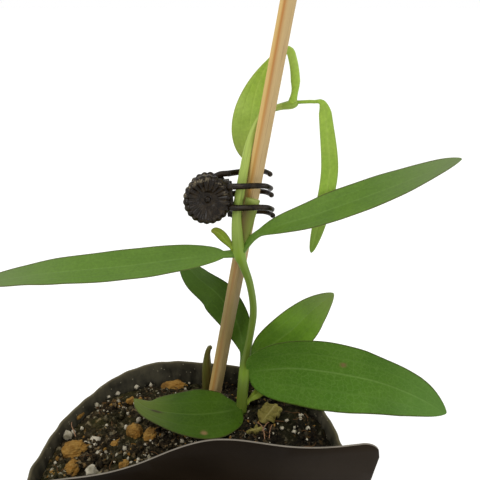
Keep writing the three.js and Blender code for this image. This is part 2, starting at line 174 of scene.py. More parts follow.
# Catmull-Rom curve through the rows, resampled to even steps along its length.
def smoothRoute(rows, steps):
    rows = np.array(rows, float)
    ends = np.vstack([2 * rows[0] - rows[1], rows, 2 * rows[-1] - rows[-2]])
    fine = []
    for t in np.linspace(0, len(rows) - 1, 40 * len(rows)):
        i = min(int(t), len(rows) - 2)
        w = t - i
        a, b, c, d = ends[i:i + 4]
        fine.append(0.5 * (2 * b + (c - a) * w + (2 * a - 5 * b + 4 * c - d) * w * w
                           + (3 * b - a - 3 * c + d) * w ** 3))
    fine = np.array(fine)
    run = np.r_[0, np.cumsum(np.linalg.norm(np.diff(fine[:, :3], axis=0), axis=1))]
    even = np.linspace(0, run[-1], steps + 1)
    return np.stack([np.interp(even, run, fine[:, k]) for k in range(rows.shape[1])], 1), run[-1]


def unit(vectors):
    return vectors / np.linalg.norm(vectors, axis=-1, keepdims=True)


# Two directions square to the route at each step, carried along without twist.
def carriedFrames(centres):
    tangents = unit(np.gradient(centres, axis=0))
    start = np.array([0.0, -1.0, 0.0]) if abs(tangents[0][1]) < 0.9 else np.array([1.0, 0, 0])
    normals = []
    for tangent in tangents:
        start = start - tangent * start.dot(tangent)
        start = start / np.linalg.norm(start)
        normals.append(start)
    normals = np.array(normals)
    return tangents, normals, np.cross(tangents, normals)


def gridFaces(rows, columns, closed=False):
    faces = []
    for i in range(rows - 1):
        for j in range(columns if closed else columns - 1):
            k = (j + 1) % columns
            faces.append((i * columns + j, i * columns + k, (i + 1) * columns + k, (i + 1) * columns + j))
    return faces


# Angles of so many even steps round a circle.
def fullTurn(steps):
    return np.linspace(0, 2 * math.pi, steps, endpoint=False)


# Closed tube of so many rows, each a ring of so many columns.
def tubeFaces(rows, columns):
    ends = [tuple(reversed(range(columns))), tuple(range((rows - 1) * columns, rows * columns))]
    return gridFaces(rows, columns, closed=True) + ends


def cylinderAlongZ(radius, low, high, sides=36):
    angles = fullTurn(sides)
    points = [(radius * math.cos(a), radius * math.sin(a), z) for z in (low, high) for a in angles]
    return np.array(points), tubeFaces(2, sides)


def spinZ(angle):
    c, s = math.cos(angle), math.sin(angle)
    return np.array([[c, -s, 0], [s, c, 0], [0, 0, 1]])


# Points and faces of a finished bmesh, which is then freed.
def unpack(solid):
    points = np.array([v.co for v in solid.verts])
    faces = [[v.index for v in f.verts] for f in solid.faces]
    solid.free()
    return points, faces


def ballShell(detail):
    ball = bmesh.new()
    bmesh.ops.create_icosphere(ball, subdivisions=detail, radius=0.5)
    return unpack(ball)


# Puts several lists of points and faces together as one.
def joinParts(parts):
    points, faces, count = [], [], 0
    for somePoints, someFaces in parts:
        faces += [[v + count for v in f] for f in someFaces]
        points.append(somePoints)
        count += len(somePoints)
    return np.vstack(points), faces


# Round-ended skin on a route of x, y, z, radius. relief(step share, angle) adds to the radius.
def sweptRod(rows, steps, sides, relief=None, flat=1, roundEnds=(True, True)):
    path, length = smoothRoute(rows, steps)
    centres, radii = path[:, :3], path[:, 3].copy()
    tangents, normals, others = carriedFrames(centres)
    run = np.linspace(0, length, steps + 1)
    for end, away in ((0, run), (1, length - run)):
        if roundEnds[end]:
            tip = np.clip(away / radii, 0.0, 1.0)
            radii = radii * np.sqrt(np.clip(1 - (1 - tip) ** 2, 0.0004, 1))
    angles = fullTurn(sides)
    size = radii[:, None] + (relief(run[:, None] / length, angles[None]) if relief else 0)
    offset = (normals[:, None] * (size * np.cos(angles))[..., None]
              + others[:, None] * (size * np.sin(angles))[..., None])
    offset[..., 1] *= flat
    points = (centres[:, None] + offset).reshape(-1, 3)
    uv = np.stack(np.broadcast_arrays(angles[None] * radii.mean(), run[:, None]), -1).reshape(-1, 2)
    return points, tubeFaces(steps + 1, sides), uv


def gaussian(distance, width):
    return np.exp(-(np.asarray(distance) / width) ** 2)


# Camera: at the photograph's angle, fitted to the pot's rim. 40 mm lens, looking 24 degrees down.
camera = {"place": (15.56, -130.8, 222.49), "down": 24, "lens": 40, "sensor": 36}
lensData = bpy.data.cameras.new("camera")
lensData.lens = camera["lens"]
lensData.sensor_width = camera["sensor"]
lensData.clip_start = 0.01
lensData.clip_end = 20
cameraObject = bpy.data.objects.new("camera", lensData)
cameraObject.location = Vector(camera["place"]) * mm
cameraObject.rotation_euler = (math.radians(90 - camera["down"]), 0, 0)
bpy.context.scene.collection.objects.link(cameraObject)
bpy.context.scene.camera = cameraObject
bpy.context.scene.view_settings.view_transform = "Standard"
print("camera placed")


# Floor: matt white card with a slight glow, so it gives soft bounce light and a faint shadow.
studio = {
    "floor": "#f6f6f4", "floorRadius": 30.0, "sky": 1.0,
    # lamp: place in metres, size, watts
    "lamps": {
        "key": ((-0.65, -0.55, 1.05), 0.45, 4.0),
        "side": ((0.85, -0.6, 0.6), 0.25, 2.2),
    },
}
floorMaterial, tree, shader = newMaterial("paper_backdrop", Roughness=0.9)
speck = addNode(tree, "ShaderNodeTexNoise", {"Scale": perMm(40)})
tone = blend(tree, speck.outputs[0], studio["floor"], "#fafaf8")
feed(tree, shader, Base_Color=tone)
shader.inputs["Emission Color"].default_value = (1, 1, 1, 1)
shader.inputs["Emission Strength"].default_value = 0.14  # lifts the far card to plain white
floorMesh = bpy.data.meshes.new("floor")
ring = [(studio["floorRadius"] * math.cos(a), studio["floorRadius"] * math.sin(a), -0.0002)
        for a in fullTurn(64)]
floorMesh.from_pydata(ring, [], [tuple(range(64))])
floorMesh.materials.append(floorMaterial)
floor = bpy.data.objects.new("floor", floorMesh)
bpy.context.scene.collection.objects.link(floor)

world = bpy.data.worlds.new("studio")
world.use_nodes = True
world.node_tree.nodes["Background"].inputs[0].default_value = (1, 1, 1, 1)
world.node_tree.nodes["Background"].inputs[1].default_value = studio["sky"]
bpy.context.scene.world = world
for name, (place, size, watts) in studio["lamps"].items():
    light = bpy.data.lights.new(name, "AREA")
    light.size = size
    light.energy = watts
    lamp = bpy.data.objects.new(name, light)
    lamp.location = place
    aim = Vector((0.015, 0.03, 0.12)) - Vector(place)
    lamp.rotation_euler = aim.to_track_quat("-Z", "Y").to_euler()
    bpy.context.scene.collection.objects.link(lamp)
print("floor and soft light placed")


# Nursery pot: thin moulded polypropylene, black, matt, filmed with dry soil dust.
pot = {
    "height": 88, "rim": 50, "base": 36, "wall": 1.0, "floor": 1.6,
    # slow waves of the thin wall: lobes, depth, degrees, then finer ones only the eye sees
    "waves": [(5, 1.1, 118), (3, 0.7, 125), (2, 0.5, 160)],
    "ripples": [(13, 0.2, 20), (29, 0.14, 75), (47, 0.1, 33)],
    # single pushes of the rim: millimetres, degrees, spread in degrees
    "dents": [(1.2, 197, 9), (-0.6, 179, 6), (0.8, 114, 8)],
    "drainCount": 6, "drainRadius": 4, "drainRing": 24,
    "plastic": "#161510", "film": "#433f31", "dust": "#7a745f", "rimEdge": "#5d553e",
}


def rimWave(angle, height):
    share = np.clip(height / pot["height"], 0, None) ** 3
    push = sum(depth * np.cos(lobes * (angle - math.radians(at))) for lobes, depth, at in pot["waves"])
    fine = sum(depth * np.cos(lobes * (angle - math.radians(at))) for lobes, depth, at in pot["ripples"])
    for depth, at, spread in pot["dents"]:
        off = (np.degrees(angle) - at + 180) % 360 - 180
        fine = fine + depth * np.exp(-(off / spread) ** 2)
    return push * share + fine * share ** 2


def wallRadius(height):
    return pot["base"] + (pot["rim"] - pot["base"]) * height / pot["height"]


def followRim(points):
    angle = np.arctan2(points[:, 1], points[:, 0])
    radius = np.hypot(points[:, 0], points[:, 1])
    moved = radius + np.clip(radius / 30, 0, 1) * rimWave(angle, points[:, 2])
    scale = np.where(radius > 1e-6, moved / np.maximum(radius, 1e-6), 1)
    return np.column_stack([points[:, 0] * scale, points[:, 1] * scale, points[:, 2]])


potMaterial, tree, shader = newMaterial("moulded_polypropylene", IOR=1.49, Specular_IOR_Level=0.22)
place = objectPlace(tree)
cloud = noiseNode(tree, place, 7, 6, 0.7)
streakMap = addNode(tree, "ShaderNodeMapping", {0: place, "Scale": (1, 1, 0.22)})
streak = noiseNode(tree, streakMap.outputs[0], 2.6, 4)
rimDust = painted(tree, "rim")
film = calc(tree, "MULTIPLY", cloud, streak)
filmShare = remap(tree, film, 0.14, 0.33, 0.05, 1.0)
inner = painted(tree, "inner")
dusty = calc(tree, "MULTIPLY", filmShare, inner)
filmed = blend(tree, dusty, pot["plastic"], pot["film"])
base = blend(tree, rimDust, filmed, pot["rimEdge"])
# specks of dried soil, 0.4 mm across in about one cell of three
grit = addNode(tree, "ShaderNodeTexVoronoi", {0: place, "Scale": perMm(1.5)})
near = remap(tree, grit.outputs["Distance"], 0.1, 0.22, 1.0, 0.0)
rare = addNode(tree, "ShaderNodeSeparateColor", {0: grit.outputs["Color"]})
pick = calc(tree, "GREATER_THAN", rare.outputs[0], 0.66)
gritSpots = calc(tree, "MULTIPLY", near, pick)
gritShare = calc(tree, "MULTIPLY", gritSpots, inner)
speckled = blend(tree, gritShare, base, pot["dust"])
feed(tree, shader, Base_Color=speckled, Roughness=remap(tree, dusty, 0, 1, 0.42, 0.85))
relief = calc(tree, "ADD", gritShare, cloud)
bumpInto(tree, shader, relief, 0.35, 0.2)

outside = [(pot["base"] - 1.6, 0), (pot["base"] - 1.0, 0.15), (pot["base"] - 0.3, 0.8)]
outside += [(wallRadius(z), z) for z in np.linspace(3, pot["height"] - 0.6, 30)]
lip = [(wallRadius(pot["height"]) - 0.5 + 0.5 * math.cos(a), pot["height"] - 0.5 + 0.5 * math.sin(a))
       for a in np.linspace(0.2, math.pi - 0.2, 7)]
inside = [(wallRadius(z) - pot["wall"], z) for z in np.linspace(pot["height"] - 0.6, 4, 30)]
floorEdge = [(pot["base"] - 2.0, pot["floor"]), (20, pot["floor"]), (1, pot["floor"])]
profile = [(1, 0), (20, 0)] + outside + lip + inside + floorEdge
columns = 288
around = fullTurn(columns)
points = followRim(np.array([(r * math.cos(a), r * math.sin(a), z) for r, z in profile for a in around]))
faces = tubeFaces(len(profile), columns)
rimShare = np.clip((points[:, 2] - 87.2) / 0.6, 0, 1) * 0.8
innerShare = np.full(len(points), 0.12)  # handled outside stays nearly clean
innerShare[columns * (2 + len(outside) + 3):] = 1.0
potPiece = makePiece("pot", points, [tuple(reversed(f)) for f in faces], potMaterial, "pot_plastic",
                     ["nursery_pot"], layers={"rim": rimShare, "inner": innerShare}, sharp=50)


# Cuts a tool mesh out of a piece, or joins it on, and applies the result.
def boolean(piece, tool, operation="DIFFERENCE"):
    step = piece.modifiers.new("step", "BOOLEAN")
    step.operation = operation
    step.solver = "EXACT"
    step.object = tool
    applied = bpy.data.meshes.new_from_object(piece.evaluated_get(bpy.context.evaluated_depsgraph_get()))
    piece.modifiers.remove(step)
    old = piece.data
    piece.data = applied
    bpy.data.meshes.remove(old)
    bpy.data.objects.remove(tool)


def looseMesh(name, points, faces):
    mesh = bpy.data.meshes.new(name)
    mesh.from_pydata((np.asarray(points, float) * mm).tolist(), [], faces)
    loose = bpy.data.objects.new(name, mesh)
    bpy.context.scene.collection.objects.link(loose)
    return loose


for i in range(pot["drainCount"]):
    turn = 2 * math.pi * i / pot["drainCount"]
    hub = (pot["drainRing"] * math.cos(turn), pot["drainRing"] * math.sin(turn), 0)
    points, faces = cylinderAlongZ(pot["drainRadius"], -3, 4, 40)
    boolean(potPiece, looseMesh("drain", points + hub, faces))
print("pot made")


# Potting mix: moist peat and coir crumb with white perlite, dull and very rough.
mix = {
    "level": 83.4, "dome": 0.8, "lump": 0.45, "fall": (28, 20, 4.6), "grid": 240,
    "crumbs": 7200, "perlite": 380, "barkBits": 260, "fibres": 150,
    # crumble: size, depth, octaves, layer of the noise; chunks: lumps and grooves by share
    "crumble": [(5.5, 0.9, 2, 0), (1.7, 0.75, 3, 40)], "chunkLumps": 0.3, "chunkGrooves": 0.22,
    # dent that keeps the crumbs off the low leaf's lower edge: x, y, width, depth
    "dent": (11.5, 18.0, 8.0, 2.3),
    "peat": "#120e07", "peatLight": "#3a301e", "moss": "#30310f",
    "shredBrown": "#5f4521", "shredGrey": "#77705a",
    "perliteWhite": "#b5ac97", "perliteShade": "#6f6853", "bark": "#7a5520", "barkPale": "#927138",
    "barkDark": "#5c421e", "coir": "#6a4b2c",
}


def soilHeight(x, y):
    dome = mix["dome"] * (1 - (x * x + y * y) / pot["rim"] ** 2)
    lumps = np.sin(x / 4.1 + 1) * np.cos(y / 5.3) + 0.6 * np.sin(x / 2.3 - y / 3.1)
    start, over, depth = mix["fall"]
    step = np.clip((y - start) / over, 0, 1)
    atX, atY, wide, deep = mix["dent"]
    dent = deep * np.exp(-((x - atX) ** 2 + (y - atY) ** 2) / wide ** 2)
    return mix["level"] + dome + mix["lump"] * lumps - depth * step * step * (3 - 2 * step) - dent


def peatMaterial(name, light, dark, tint):
    material, tree, shader = newMaterial(name, Roughness=0.92, IOR=1.45, Specular_IOR_Level=0.15)
    place = objectPlace(tree)
    grain = noiseNode(tree, place, 1.1, 6, 0.7)
    patch = noiseNode(tree, place, 14, 2)
    ramp = remap(tree, grain, 0.4, 0.72)
    dull = blend(tree, ramp, dark, light)
    # shreds of root, husk and sand, about a millimetre across, each in its own tone
    pushed = warped(tree, place, grain, 0.0025)
    shred = addNode(tree, "ShaderNodeTexVoronoi", {0: pushed, "Scale": perMm(1)})
    tone = addNode(tree, "ShaderNodeSeparateColor", {0: shred.outputs["Color"]})
    pale = remap(tree, tone.outputs[0], 0.76, 0.96, 0.0, 0.95)
    husk = blend(tree, tone.outputs[1], mix["shredBrown"], mix["shredGrey"])
    body = blend(tree, pale, dull, husk)
    tintShare = remap(tree, patch, 0.45, 0.7, 0.0, 0.6)
    mixed = blend(tree, tintShare, body, tint)
    # painted light and shade: paler at the left edge, nearly black at the right
    east = addNode(tree, "ShaderNodeSeparateXYZ", {0: place})
    sideShade = remap(tree, east.outputs[0], -0.036, 0.018, 1.35, 0.5)
    sideShaded = blend(tree, 1.0, mixed, sideShade, "MULTIPLY")
    feed(tree, shader, Base_Color=sideShaded)
    bumpInto(tree, shader, grain, 0.9, 0.5)
    return material


mixMaterial = peatMaterial("peat_and_coir", mix["peatLight"], mix["peat"], mix["moss"])
side = mix["grid"]
flat = np.linspace(-1, 1, side)
a, b = np.meshgrid(flat, flat, indexing="ij")
wide = np.abs(a) > np.abs(b)
reach = np.where(wide, a, b)
safe = np.where(np.abs(reach) < 1e-9, 1, reach)
turn = np.where(wide, math.pi / 4 * b / safe, math.pi / 2 - math.pi / 4 * a / safe)
topRadius = wallRadius(mix["level"]) - pot["wall"] - 0.15
x, y = (reach * np.cos(turn) * topRadius).ravel(), (reach * np.sin(turn) * topRadius).ravel()
away = np.hypot(x, y) / topRadius
# the falling back edge follows the wall's taper and waves at its own height
ground = soilHeight(x, y)
pull = 1 - (mix["level"] - ground) * (pot["rim"] - pot["base"]) / pot["height"] / topRadius
sunk = followRim(np.column_stack([x * pull, y * pull, ground]))
x, y = sunk[:, 0], sunk[:, 1]
crumble = 0
for size, depth, octaves, layer in mix["crumble"]:
    crumble = crumble + depth * np.array([noise.fractal(Vector((*p, layer)) / size, 1.0, 2.1, octaves)
                                          for p in zip(x, y)])
ledge = 0.5 * np.clip((away - 0.93) / 0.07, 0, 1) ** 2
top = np.column_stack([x, y, soilHeight(x, y) + crumble - 0.3 - ledge])
edge = ([i * side for i in range(side - 1, 0, -1)] + list(range(side - 1))
        + [i * side + side - 1 for i in range(side - 1)]
        + [(side - 1) * side + j for j in range(side - 1, 0, -1)])
faces = gridFaces(side, side)
rims = [np.array(edge)]
points = [top]
count = len(top)
for z in (66, 50, 30, 10, 2.2):
    angle = np.arctan2(top[edge, 1], top[edge, 0])
    radius = wallRadius(z) - pot["wall"] - (0.15 if z > 3 else 2.2) + rimWave(angle, z)
    points.append(np.column_stack([radius * np.cos(angle), radius * np.sin(angle), 0 * angle + z]))
    rims.append(np.arange(count, count + len(edge)))
    count += len(edge)
for upper, lower in zip(rims, rims[1:]):
    for k in range(len(edge)):
        n = (k + 1) % len(edge)
        faces.append((int(upper[k]), int(upper[n]), int(lower[n]), int(lower[k])))
faces.append(tuple(int(v) for v in rims[-1]))
mixPiece = makePiece("potting_mix_top", np.vstack(points), faces, mixMaterial, "potting_mix",
                     ["potting_mix"])
tidy = bmesh.new()
tidy.from_mesh(mixPiece.data)
bmesh.ops.recalc_face_normals(tidy, faces=tidy.faces)
tidy.to_mesh(mixPiece.data)
tidy.free()


# Many small irregular lumps in one piece, half pressed into the surface they lie on.
def scatterLumps(name, spots, material, slot, stretch=(1, 1, 1), detail=1, knobs=0.3):
    shell, faces = ballShell(detail)
    parts = []
    for x, y, z, size in spots:
        seed = Vector((dice.uniform(0, 90), dice.uniform(0, 90), dice.uniform(0, 90)))
        bumps = np.array([1 + knobs * noise.noise(Vector(p) * 3.1 + seed) for p in shell])
        scale = np.array([size * s * dice.uniform(0.75, 1.25) for s in stretch])
        angle = dice.uniform(0, 6.3)
        axis = Vector((dice.gauss(0, 1), dice.gauss(0, 1), dice.gauss(0, 1) + 0.01)).normalized()
        spin = np.array(Matrix.Rotation(angle, 3, axis))
        parts.append(((shell * bumps[:, None] * scale) @ spin.T + (x, y, z), faces))
    return makePiece(name, *joinParts(parts), material, slot)


# Random spots on the mix, clear of the wall; heap pulls them into loose groups.
def mixSpots(count, sizes, heap=0.0, lift=0.0):
    spots = []
    while len(spots) < count:
        radius = 45.5 * math.sqrt(dice.random())
        angle = dice.uniform(0, 2 * math.pi)
        x, y = radius * math.cos(angle), radius * math.sin(angle)
        if noise.noise(Vector((x, y, 7)) / 11) < heap * dice.uniform(0.4, 1.2) - 0.2 * (heap > 0):
            continue
        size = dice.triangular(*sizes)
        spots.append((x, y, soilHeight(x, y) + lift + size * dice.uniform(-0.15, 0.2), size))
    return spots


# the crumbs carry the same painted light and shade, paler at the left and darker at the right
crumbMaterial = peatMaterial("peat_crumbs", "#382d1a", "#0e0a05", "#2b2b14")
scatterLumps("mix_crumbs", mixSpots(mix["crumbs"], (0.6, 2.8, 1.0), lift=0.3), crumbMaterial, "potting_mix",
             knobs=1.1)

# Perlite: heat-puffed volcanic glass, matt white to grey, chalky and pitted.
perliteMaterial, tree, shader = newMaterial("perlite", Roughness=0.85, IOR=1.5, Specular_IOR_Level=0.2)
place = objectPlace(tree)
pits = noiseNode(tree, place, 0.6, 4)
dirt = noiseNode(tree, place, 3.0, 3)
dirtShare = remap(tree, dirt, 0.42, 0.66)
chalk = blend(tree, dirtShare, mix["perliteWhite"], mix["perliteShade"])
feed(tree, shader, Base_Color=chalk)
bumpInto(tree, shader, pits, 0.6, 0.2)
# the larger grains lie where the photograph shows them: x, y, size
seenPerlite = [
    (-44.6, 11.4, 2.6), (-43.0, 12.9, 1.6), (-37.9, 26.6, 2.1), (-34.7, 23.5, 1.2), (-26.2, 41.6, 2.0),
    (-20.6, 43.2, 2.2), (-34.0, 8.6, 2.9), (-32.2, 3.9, 1.9), (-32.4, -3.8, 3.8), (-14.5, 1.4, 1.9),
    (-23.1, 4.5, 1.7), (-21.1, 19.3, 2.0), (-40.4, 14.6, 1.3), (-30.5, 29.0, 1.4), (-25.6, 22.2, 1.1),
    (-25.0, 15.5, 1.6), (-25.2, 1.6, 1.3), (-22.6, 2.0, 1.5), (-45.0, -0.8, 1.2), (-41.8, -5.4, 1.3),
    (-30.8, 2.9, 1.2), (-36.2, 7.6, 1.1), (-36.1, 13.5, 1.1), (-38.0, -1.8, 1.1), (-18.0, 0.6, 1.3),
    (-16.4, 2.0, 1.2), (-20.2, -0.9, 0.9), (-35.6, 33.6, 1.3), (-32.4, 36.0, 1.4), (32.4, 18.7, 1.5),
    (38.2, 21.1, 1.6), (34.6, 13.4, 1.7), (39.6, 14.3, 1.5), (30.5, 15.1, 1.3), (36.7, 11.2, 1.4),
]
spots = mixSpots(mix["perlite"], (0.35, 1.5, 0.5), heap=0.1, lift=0.7)
spots += [(x, y, soilHeight(x, y) + 0.8, size) for x, y, size in seenPerlite]
scatterLumps("perlite_grains", spots, perliteMaterial, "potting_mix", detail=2, knobs=0.75)
print("potting mix made")


# Bark: coarse tan chips of conifer bark, fibrous and matt, one per CAD chunk plus small bits.
chunks = [
    (-40.0, 4.6, 7.8, 6.8, 6.6, 20), (-39.2, -2.4, 4.6, 5.4, 3.6, -35), (-27.3, 7.0, 3.6, 3.4, 3.0, 10),
    (-21.5, 13.6, 5.0, 6.2, 5.0, 50), (-15.6, 11.5, 4.4, 6.0, 3.4, -20), (-22.3, -1.7, 3.4, 2.8, 2.6, 0),
    (-26.2, 29.6, 3.4, 2.8, 2.4, 30), (-10.8, 41.2, 10.4, 5.0, 5.0, 14),
]
barkMaterial, tree, shader = newMaterial("conifer_bark", Roughness=0.88, IOR=1.45, Specular_IOR_Level=0.15)
place = objectPlace(tree)
fibreMap = addNode(tree, "ShaderNodeMapping", {0: place, "Rotation": (0.3, 0.5, 0.6), "Scale": (0.3, 1, 1)})
fibre = noiseNode(tree, fibreMap.outputs[0], 0.8, 5)
soak = noiseNode(tree, place, 3.5, 3)
fibreShare = remap(tree, fibre, 0.35, 0.65)
tan = blend(tree, fibreShare, mix["bark"], mix["barkPale"])
soakShare = remap(tree, soak, 0.5, 0.72, 0.0, 0.85)
soaked = blend(tree, soakShare, tan, mix["barkDark"])
feed(tree, shader, Base_Color=soaked)
bumpInto(tree, shader, fibre, 0.8, 0.4)
for i, (x, y, length, width, height, turn) in enumerate(chunks):
    shell, faces = ballShell(5)
    blunt = np.sign(shell) * np.abs(shell * 2) ** 0.8 / 2
    seed = Vector((x, y, 3))
    lumps = np.array([noise.fractal(Vector(p) * 2.6 + seed, 0.9, 2.2, 4) for p in shell])
    grooves = np.array([abs(noise.noise(Vector((p[0] * 2, p[1] * 9, p[2] * 9)) + seed)) for p in shell])
    swell = 1 + mix["chunkLumps"] * lumps - mix["chunkGrooves"] * grooves
    points = blunt * swell[:, None] * (length, width, height)
    points = points @ spinZ(math.radians(turn)).T + (x, y, soilHeight(x, y) + height * 0.12)
    makePiece(f"bark_{i + 1}", points, faces, barkMaterial, "bark", [f"bark_chunk_{i + 1}"])
bits = mixSpots(mix["barkBits"], (0.5, 2.6, 0.8), lift=0.5)
bits += [(-43.2, 21.4, soilHeight(-43.2, 21.4) + 0.9, 2.6)]
scatterLumps("bark_bits", bits, barkMaterial, "bark", stretch=(1.5, 0.8, 0.6), detail=2, knobs=0.6)

# Coir and root threads lying in the mix.
threadMaterial = twoTone("coir_thread", 6, "#32230f", mix["coir"], Roughness=0.8, IOR=1.45,
                         Specular_IOR_Level=0.2)
parts = []
for x, y, z, size in mixSpots(mix["fibres"], (3, 11, 5), lift=0.6):
    heading = dice.uniform(0, 2 * math.pi)
    rows = []
    for k in range(5):
        lift = 0.9 + 0.5 * math.sin(k * 1.3) + dice.uniform(-0.4, 0.3)
        rows.append((x, y, soilHeight(x, y) + lift, dice.uniform(0.09, 0.17)))
        heading += dice.uniform(-0.6, 0.6)
        x += math.cos(heading) * size / 5
        y += math.sin(heading) * size / 5
        if math.hypot(x, y) > 45:
            heading += math.pi
    parts.append(sweptRod(rows, 12, 5)[:2])
makePiece("coir_threads", *joinParts(parts), threadMaterial, "potting_mix")

# Fine roots and dry tendrils that catch the light, reddish tan.
rootMaterial = twoTone("fine_root", 2, "#6b3f28", "#a58263", Roughness=0.7, IOR=1.45,
                       Specular_IOR_Level=0.25)
roots = [
    [(-44.8, 17.5, 84.8), (-44.6, 16.5, 85.4), (-43.7, 14.2, 85.8), (-42.5, 12.3, 85.7),
     (-41.5, 10.6, 84.6)],
    [(21.6, 17.2, 84.6), (22.0, 16.2, 85.8), (23.3, 14.3, 86.0), (23.9, 11.5, 86.1), (24.1, 8.4, 84.8)],
    [(26.0, 17.4, 84.6), (25.6, 16.4, 85.8), (24.0, 13.7, 86.2), (22.9, 11.1, 85.2)],
    [(27.2, 16.3, 84.8), (26.9, 15.3, 85.6), (26.1, 12.6, 86.0), (25.6, 9.5, 84.9)],
]
parts = [sweptRod([p + (0.15,) for p in route], 30, 6)[:2] for route in roots]
makePiece("fine_roots", *joinParts(parts), rootMaterial, "potting_mix")
print("bark and threads made")


# Split cane: a quartered bamboo culm, pale fibrous wood, browner in a band low down, with a painted
# highlight along its left edge.
cane = {
    "low": (-5.3, 32.3, 20), "high": (32.6, 40.6, 240), "width": 4.1, "round": 1.0, "steps": 420,
    "waver": 0.03, "ridge": 0.1, "hair": 0.05,
    "tan": "#ad8243", "orange": "#a46f33", "grey": "#ae9466", "pale": "#c0a062",
    "fibre": "#6b4a20", "darkBand": "#665c2f",
}
half = cane["width"] / 2 - cane["round"]
section = []
for cx, cy in [(1, -1), (1, 1), (-1, 1), (-1, -1)]:
    turns = math.atan2(cy, cx) - math.pi / 4 + np.linspace(0, math.pi / 2, 10)
    section += [(cx * half + cane["round"] * math.cos(a), cy * half + cane["round"] * math.sin(a))
                for a in turns]
section = np.array(section)
outline = []
for one, two in zip(section, np.roll(section, -1, axis=0)):
    cuts = max(1, int(np.linalg.norm(two - one) / 0.25))
    outline += [one + (two - one) * k / cuts for k in range(cuts)]
outline = np.array(outline) @ spinZ(math.pi / 4)[:2, :2].T
around = np.r_[0, np.cumsum(np.linalg.norm(np.diff(outline, axis=0), axis=1))]
normals2d = unit(outline)
low, high = Vector(cane["low"]), Vector(cane["high"])
lean = Vector((0, 0, 1)).rotation_difference((high - low).normalized()).to_matrix()
caneLength = (high - low).length
points, uv, darkBand = [], [], []
for i in range(cane["steps"] + 1):
    run = caneLength * i / cane["steps"]
    waver = 1 + cane["waver"] * noise.noise(Vector((run / 22, 0, 3)))
    for k, (px, py) in enumerate(outline):
        ridge = noise.noise(Vector((px * 1.9, py * 1.9, run / 60))) * cane["ridge"]
        hair = noise.noise(Vector((px * 5.5, py * 5.5, run / 26 + 9))) * cane["hair"]
        grow = waver + (ridge + hair) / 2.3
        p = lean @ Vector((px * grow, py * grow, run)) + low
        points.append(p)
        uv.append((around[k], run))
        # darker and browner in a band centred 119 mm up, and a little darker below 100 mm
        darkBand.append(0.9 * math.exp(-((p.z - 119) / 20) ** 2) + 0.12 / (1 + math.exp((p.z - 100) / 6)))
rightFace = np.tile(normals2d @ np.array([0.72, -0.69]), cane["steps"] + 1)
# painted highlight: a paler band where the cane turns to the left
leftEdgeHighlight = np.tile(normals2d @ np.array([-0.98, -0.2]), cane["steps"] + 1)

caneMaterial, tree, shader = newMaterial("split_bamboo", Roughness=0.55, IOR=1.5, Specular_IOR_Level=0.3)
bundle = drawnOut(tree, 0.35, 26, 4, 0.6)  # fibre bundles, far longer than wide
bandShare = remap(tree, drawnOut(tree, 1.6, 55, 2), 0.38, 0.62)
wood = blend(tree, bandShare, cane["orange"], cane["tan"])
overlays = {
    "grey": remap(tree, painted(tree, "right_face"), 0.25, 0.7),
    # the pale left edge is a painted highlight
    "pale": remap(tree, painted(tree, "left_edge_highlight"), 0.75, 0.95),
    "fibre": remap(tree, bundle, 0.56, 0.72, 0, 0.7),
    "darkBand": calc(tree, "MULTIPLY", painted(tree, "darkBand"), 0.8),
}
for colour, share in overlays.items():
    wood = blend(tree, share, wood, cane[colour])
feed(tree, shader, Base_Color=wood)
bumpInto(tree, shader, bundle, 0.5, 0.15)
faces = tubeFaces(cane["steps"] + 1, len(outline))
makePiece("cane", points, faces, caneMaterial, "cane", ["bamboo_stake"], uv=uv, sharp=60,
          layers={"right_face": rightFace, "left_edge_highlight": leftEdgeHighlight, "darkBand": darkBand})
print("cane made")


# Living stems: ribbed, waxy, lighter and yellower towards the growing tip.
stem = {
    "route": [
        (16.0, 23.8, 66, 0.9), (16.1, 24.0, 76, 1.6), (16.1, 24.4, 83.5, 1.95), (16.6, 26.2, 92, 2.0),
        (17.3, 29.0, 99, 2.0), (18.6, 30.2, 109, 1.25), (20.3, 31.2, 122, 1.2), (19.0, 31.9, 133, 1.25),
        (16.5, 32.2, 141, 1.6), (15.3, 32.2, 145, 2.2), (14.6, 32.5, 152, 1.95), (14.6, 34.4, 159, 1.65),
        (15.7, 35.8, 166, 1.6), (17.0, 37.5, 173, 1.5), (18.5, 39.6, 180, 1.4), (20.7, 41.8, 186, 1.15),
        (23.6, 43.9, 190, 1.05), (28.1, 44.1, 191.6, 1.0), (32.2, 43.4, 192.6, 1.35),
        (34.2, 42.8, 193.7, 0.8),
    ],
    "ribs": 6, "ribDepth": 0.07,
    "old": "#56661f", "green": "#62792a", "young": "#98aa4f", "joint": "#75922b", "stripe": "#4d5c20",
}


def stemMaterial(name, old, green, young):
    material, tree, shader = newMaterial(name, Roughness=0.45, IOR=1.45, Specular_IOR_Level=0.3)
    youth = painted(tree, "youth")
    grown = blend(tree, remap(tree, youth, 0.1, 0.55), old, green)
    grown = blend(tree, remap(tree, youth, 0.55, 0.85), grown, young)
    stripe = drawnOut(tree, 0.8, 18, 4)  # stripes between the ribs, about 0.8 mm apart
    grown = blend(tree, remap(tree, stripe, 0.52, 0.72, 0, 0.5), grown, stem["stripe"])
    feed(tree, shader, Base_Color=blend(tree, painted(tree, "joint"), grown, stem["joint"]))
    bumpInto(tree, shader, stripe, 0.4, 0.1)
    return material


greenStem = stemMaterial("green_stem", stem["old"], stem["green"], stem["young"])


def stemRelief(share, angle):
    ribs = stem["ribDepth"] * np.cos(stem["ribs"] * angle + share * 9)
    return ribs + 0.03 * np.cos(13 * angle + share * 40)


points, faces, uv = sweptRod(stem["route"], 460, 30, stemRelief)
height = points[:, 2]
joints = gaussian(height - 99, 3) + gaussian(height - 145, 3.5)
joints += gaussian(height - 192.8, 1.6) * (points[:, 0] > 29)
makePiece("stem", points, faces, greenStem, "stem", ["main_stem"], uv=uv,
          layers={"youth": (height - 70) / 125, "joint": np.clip(joints, 0, 1) * 0.7})

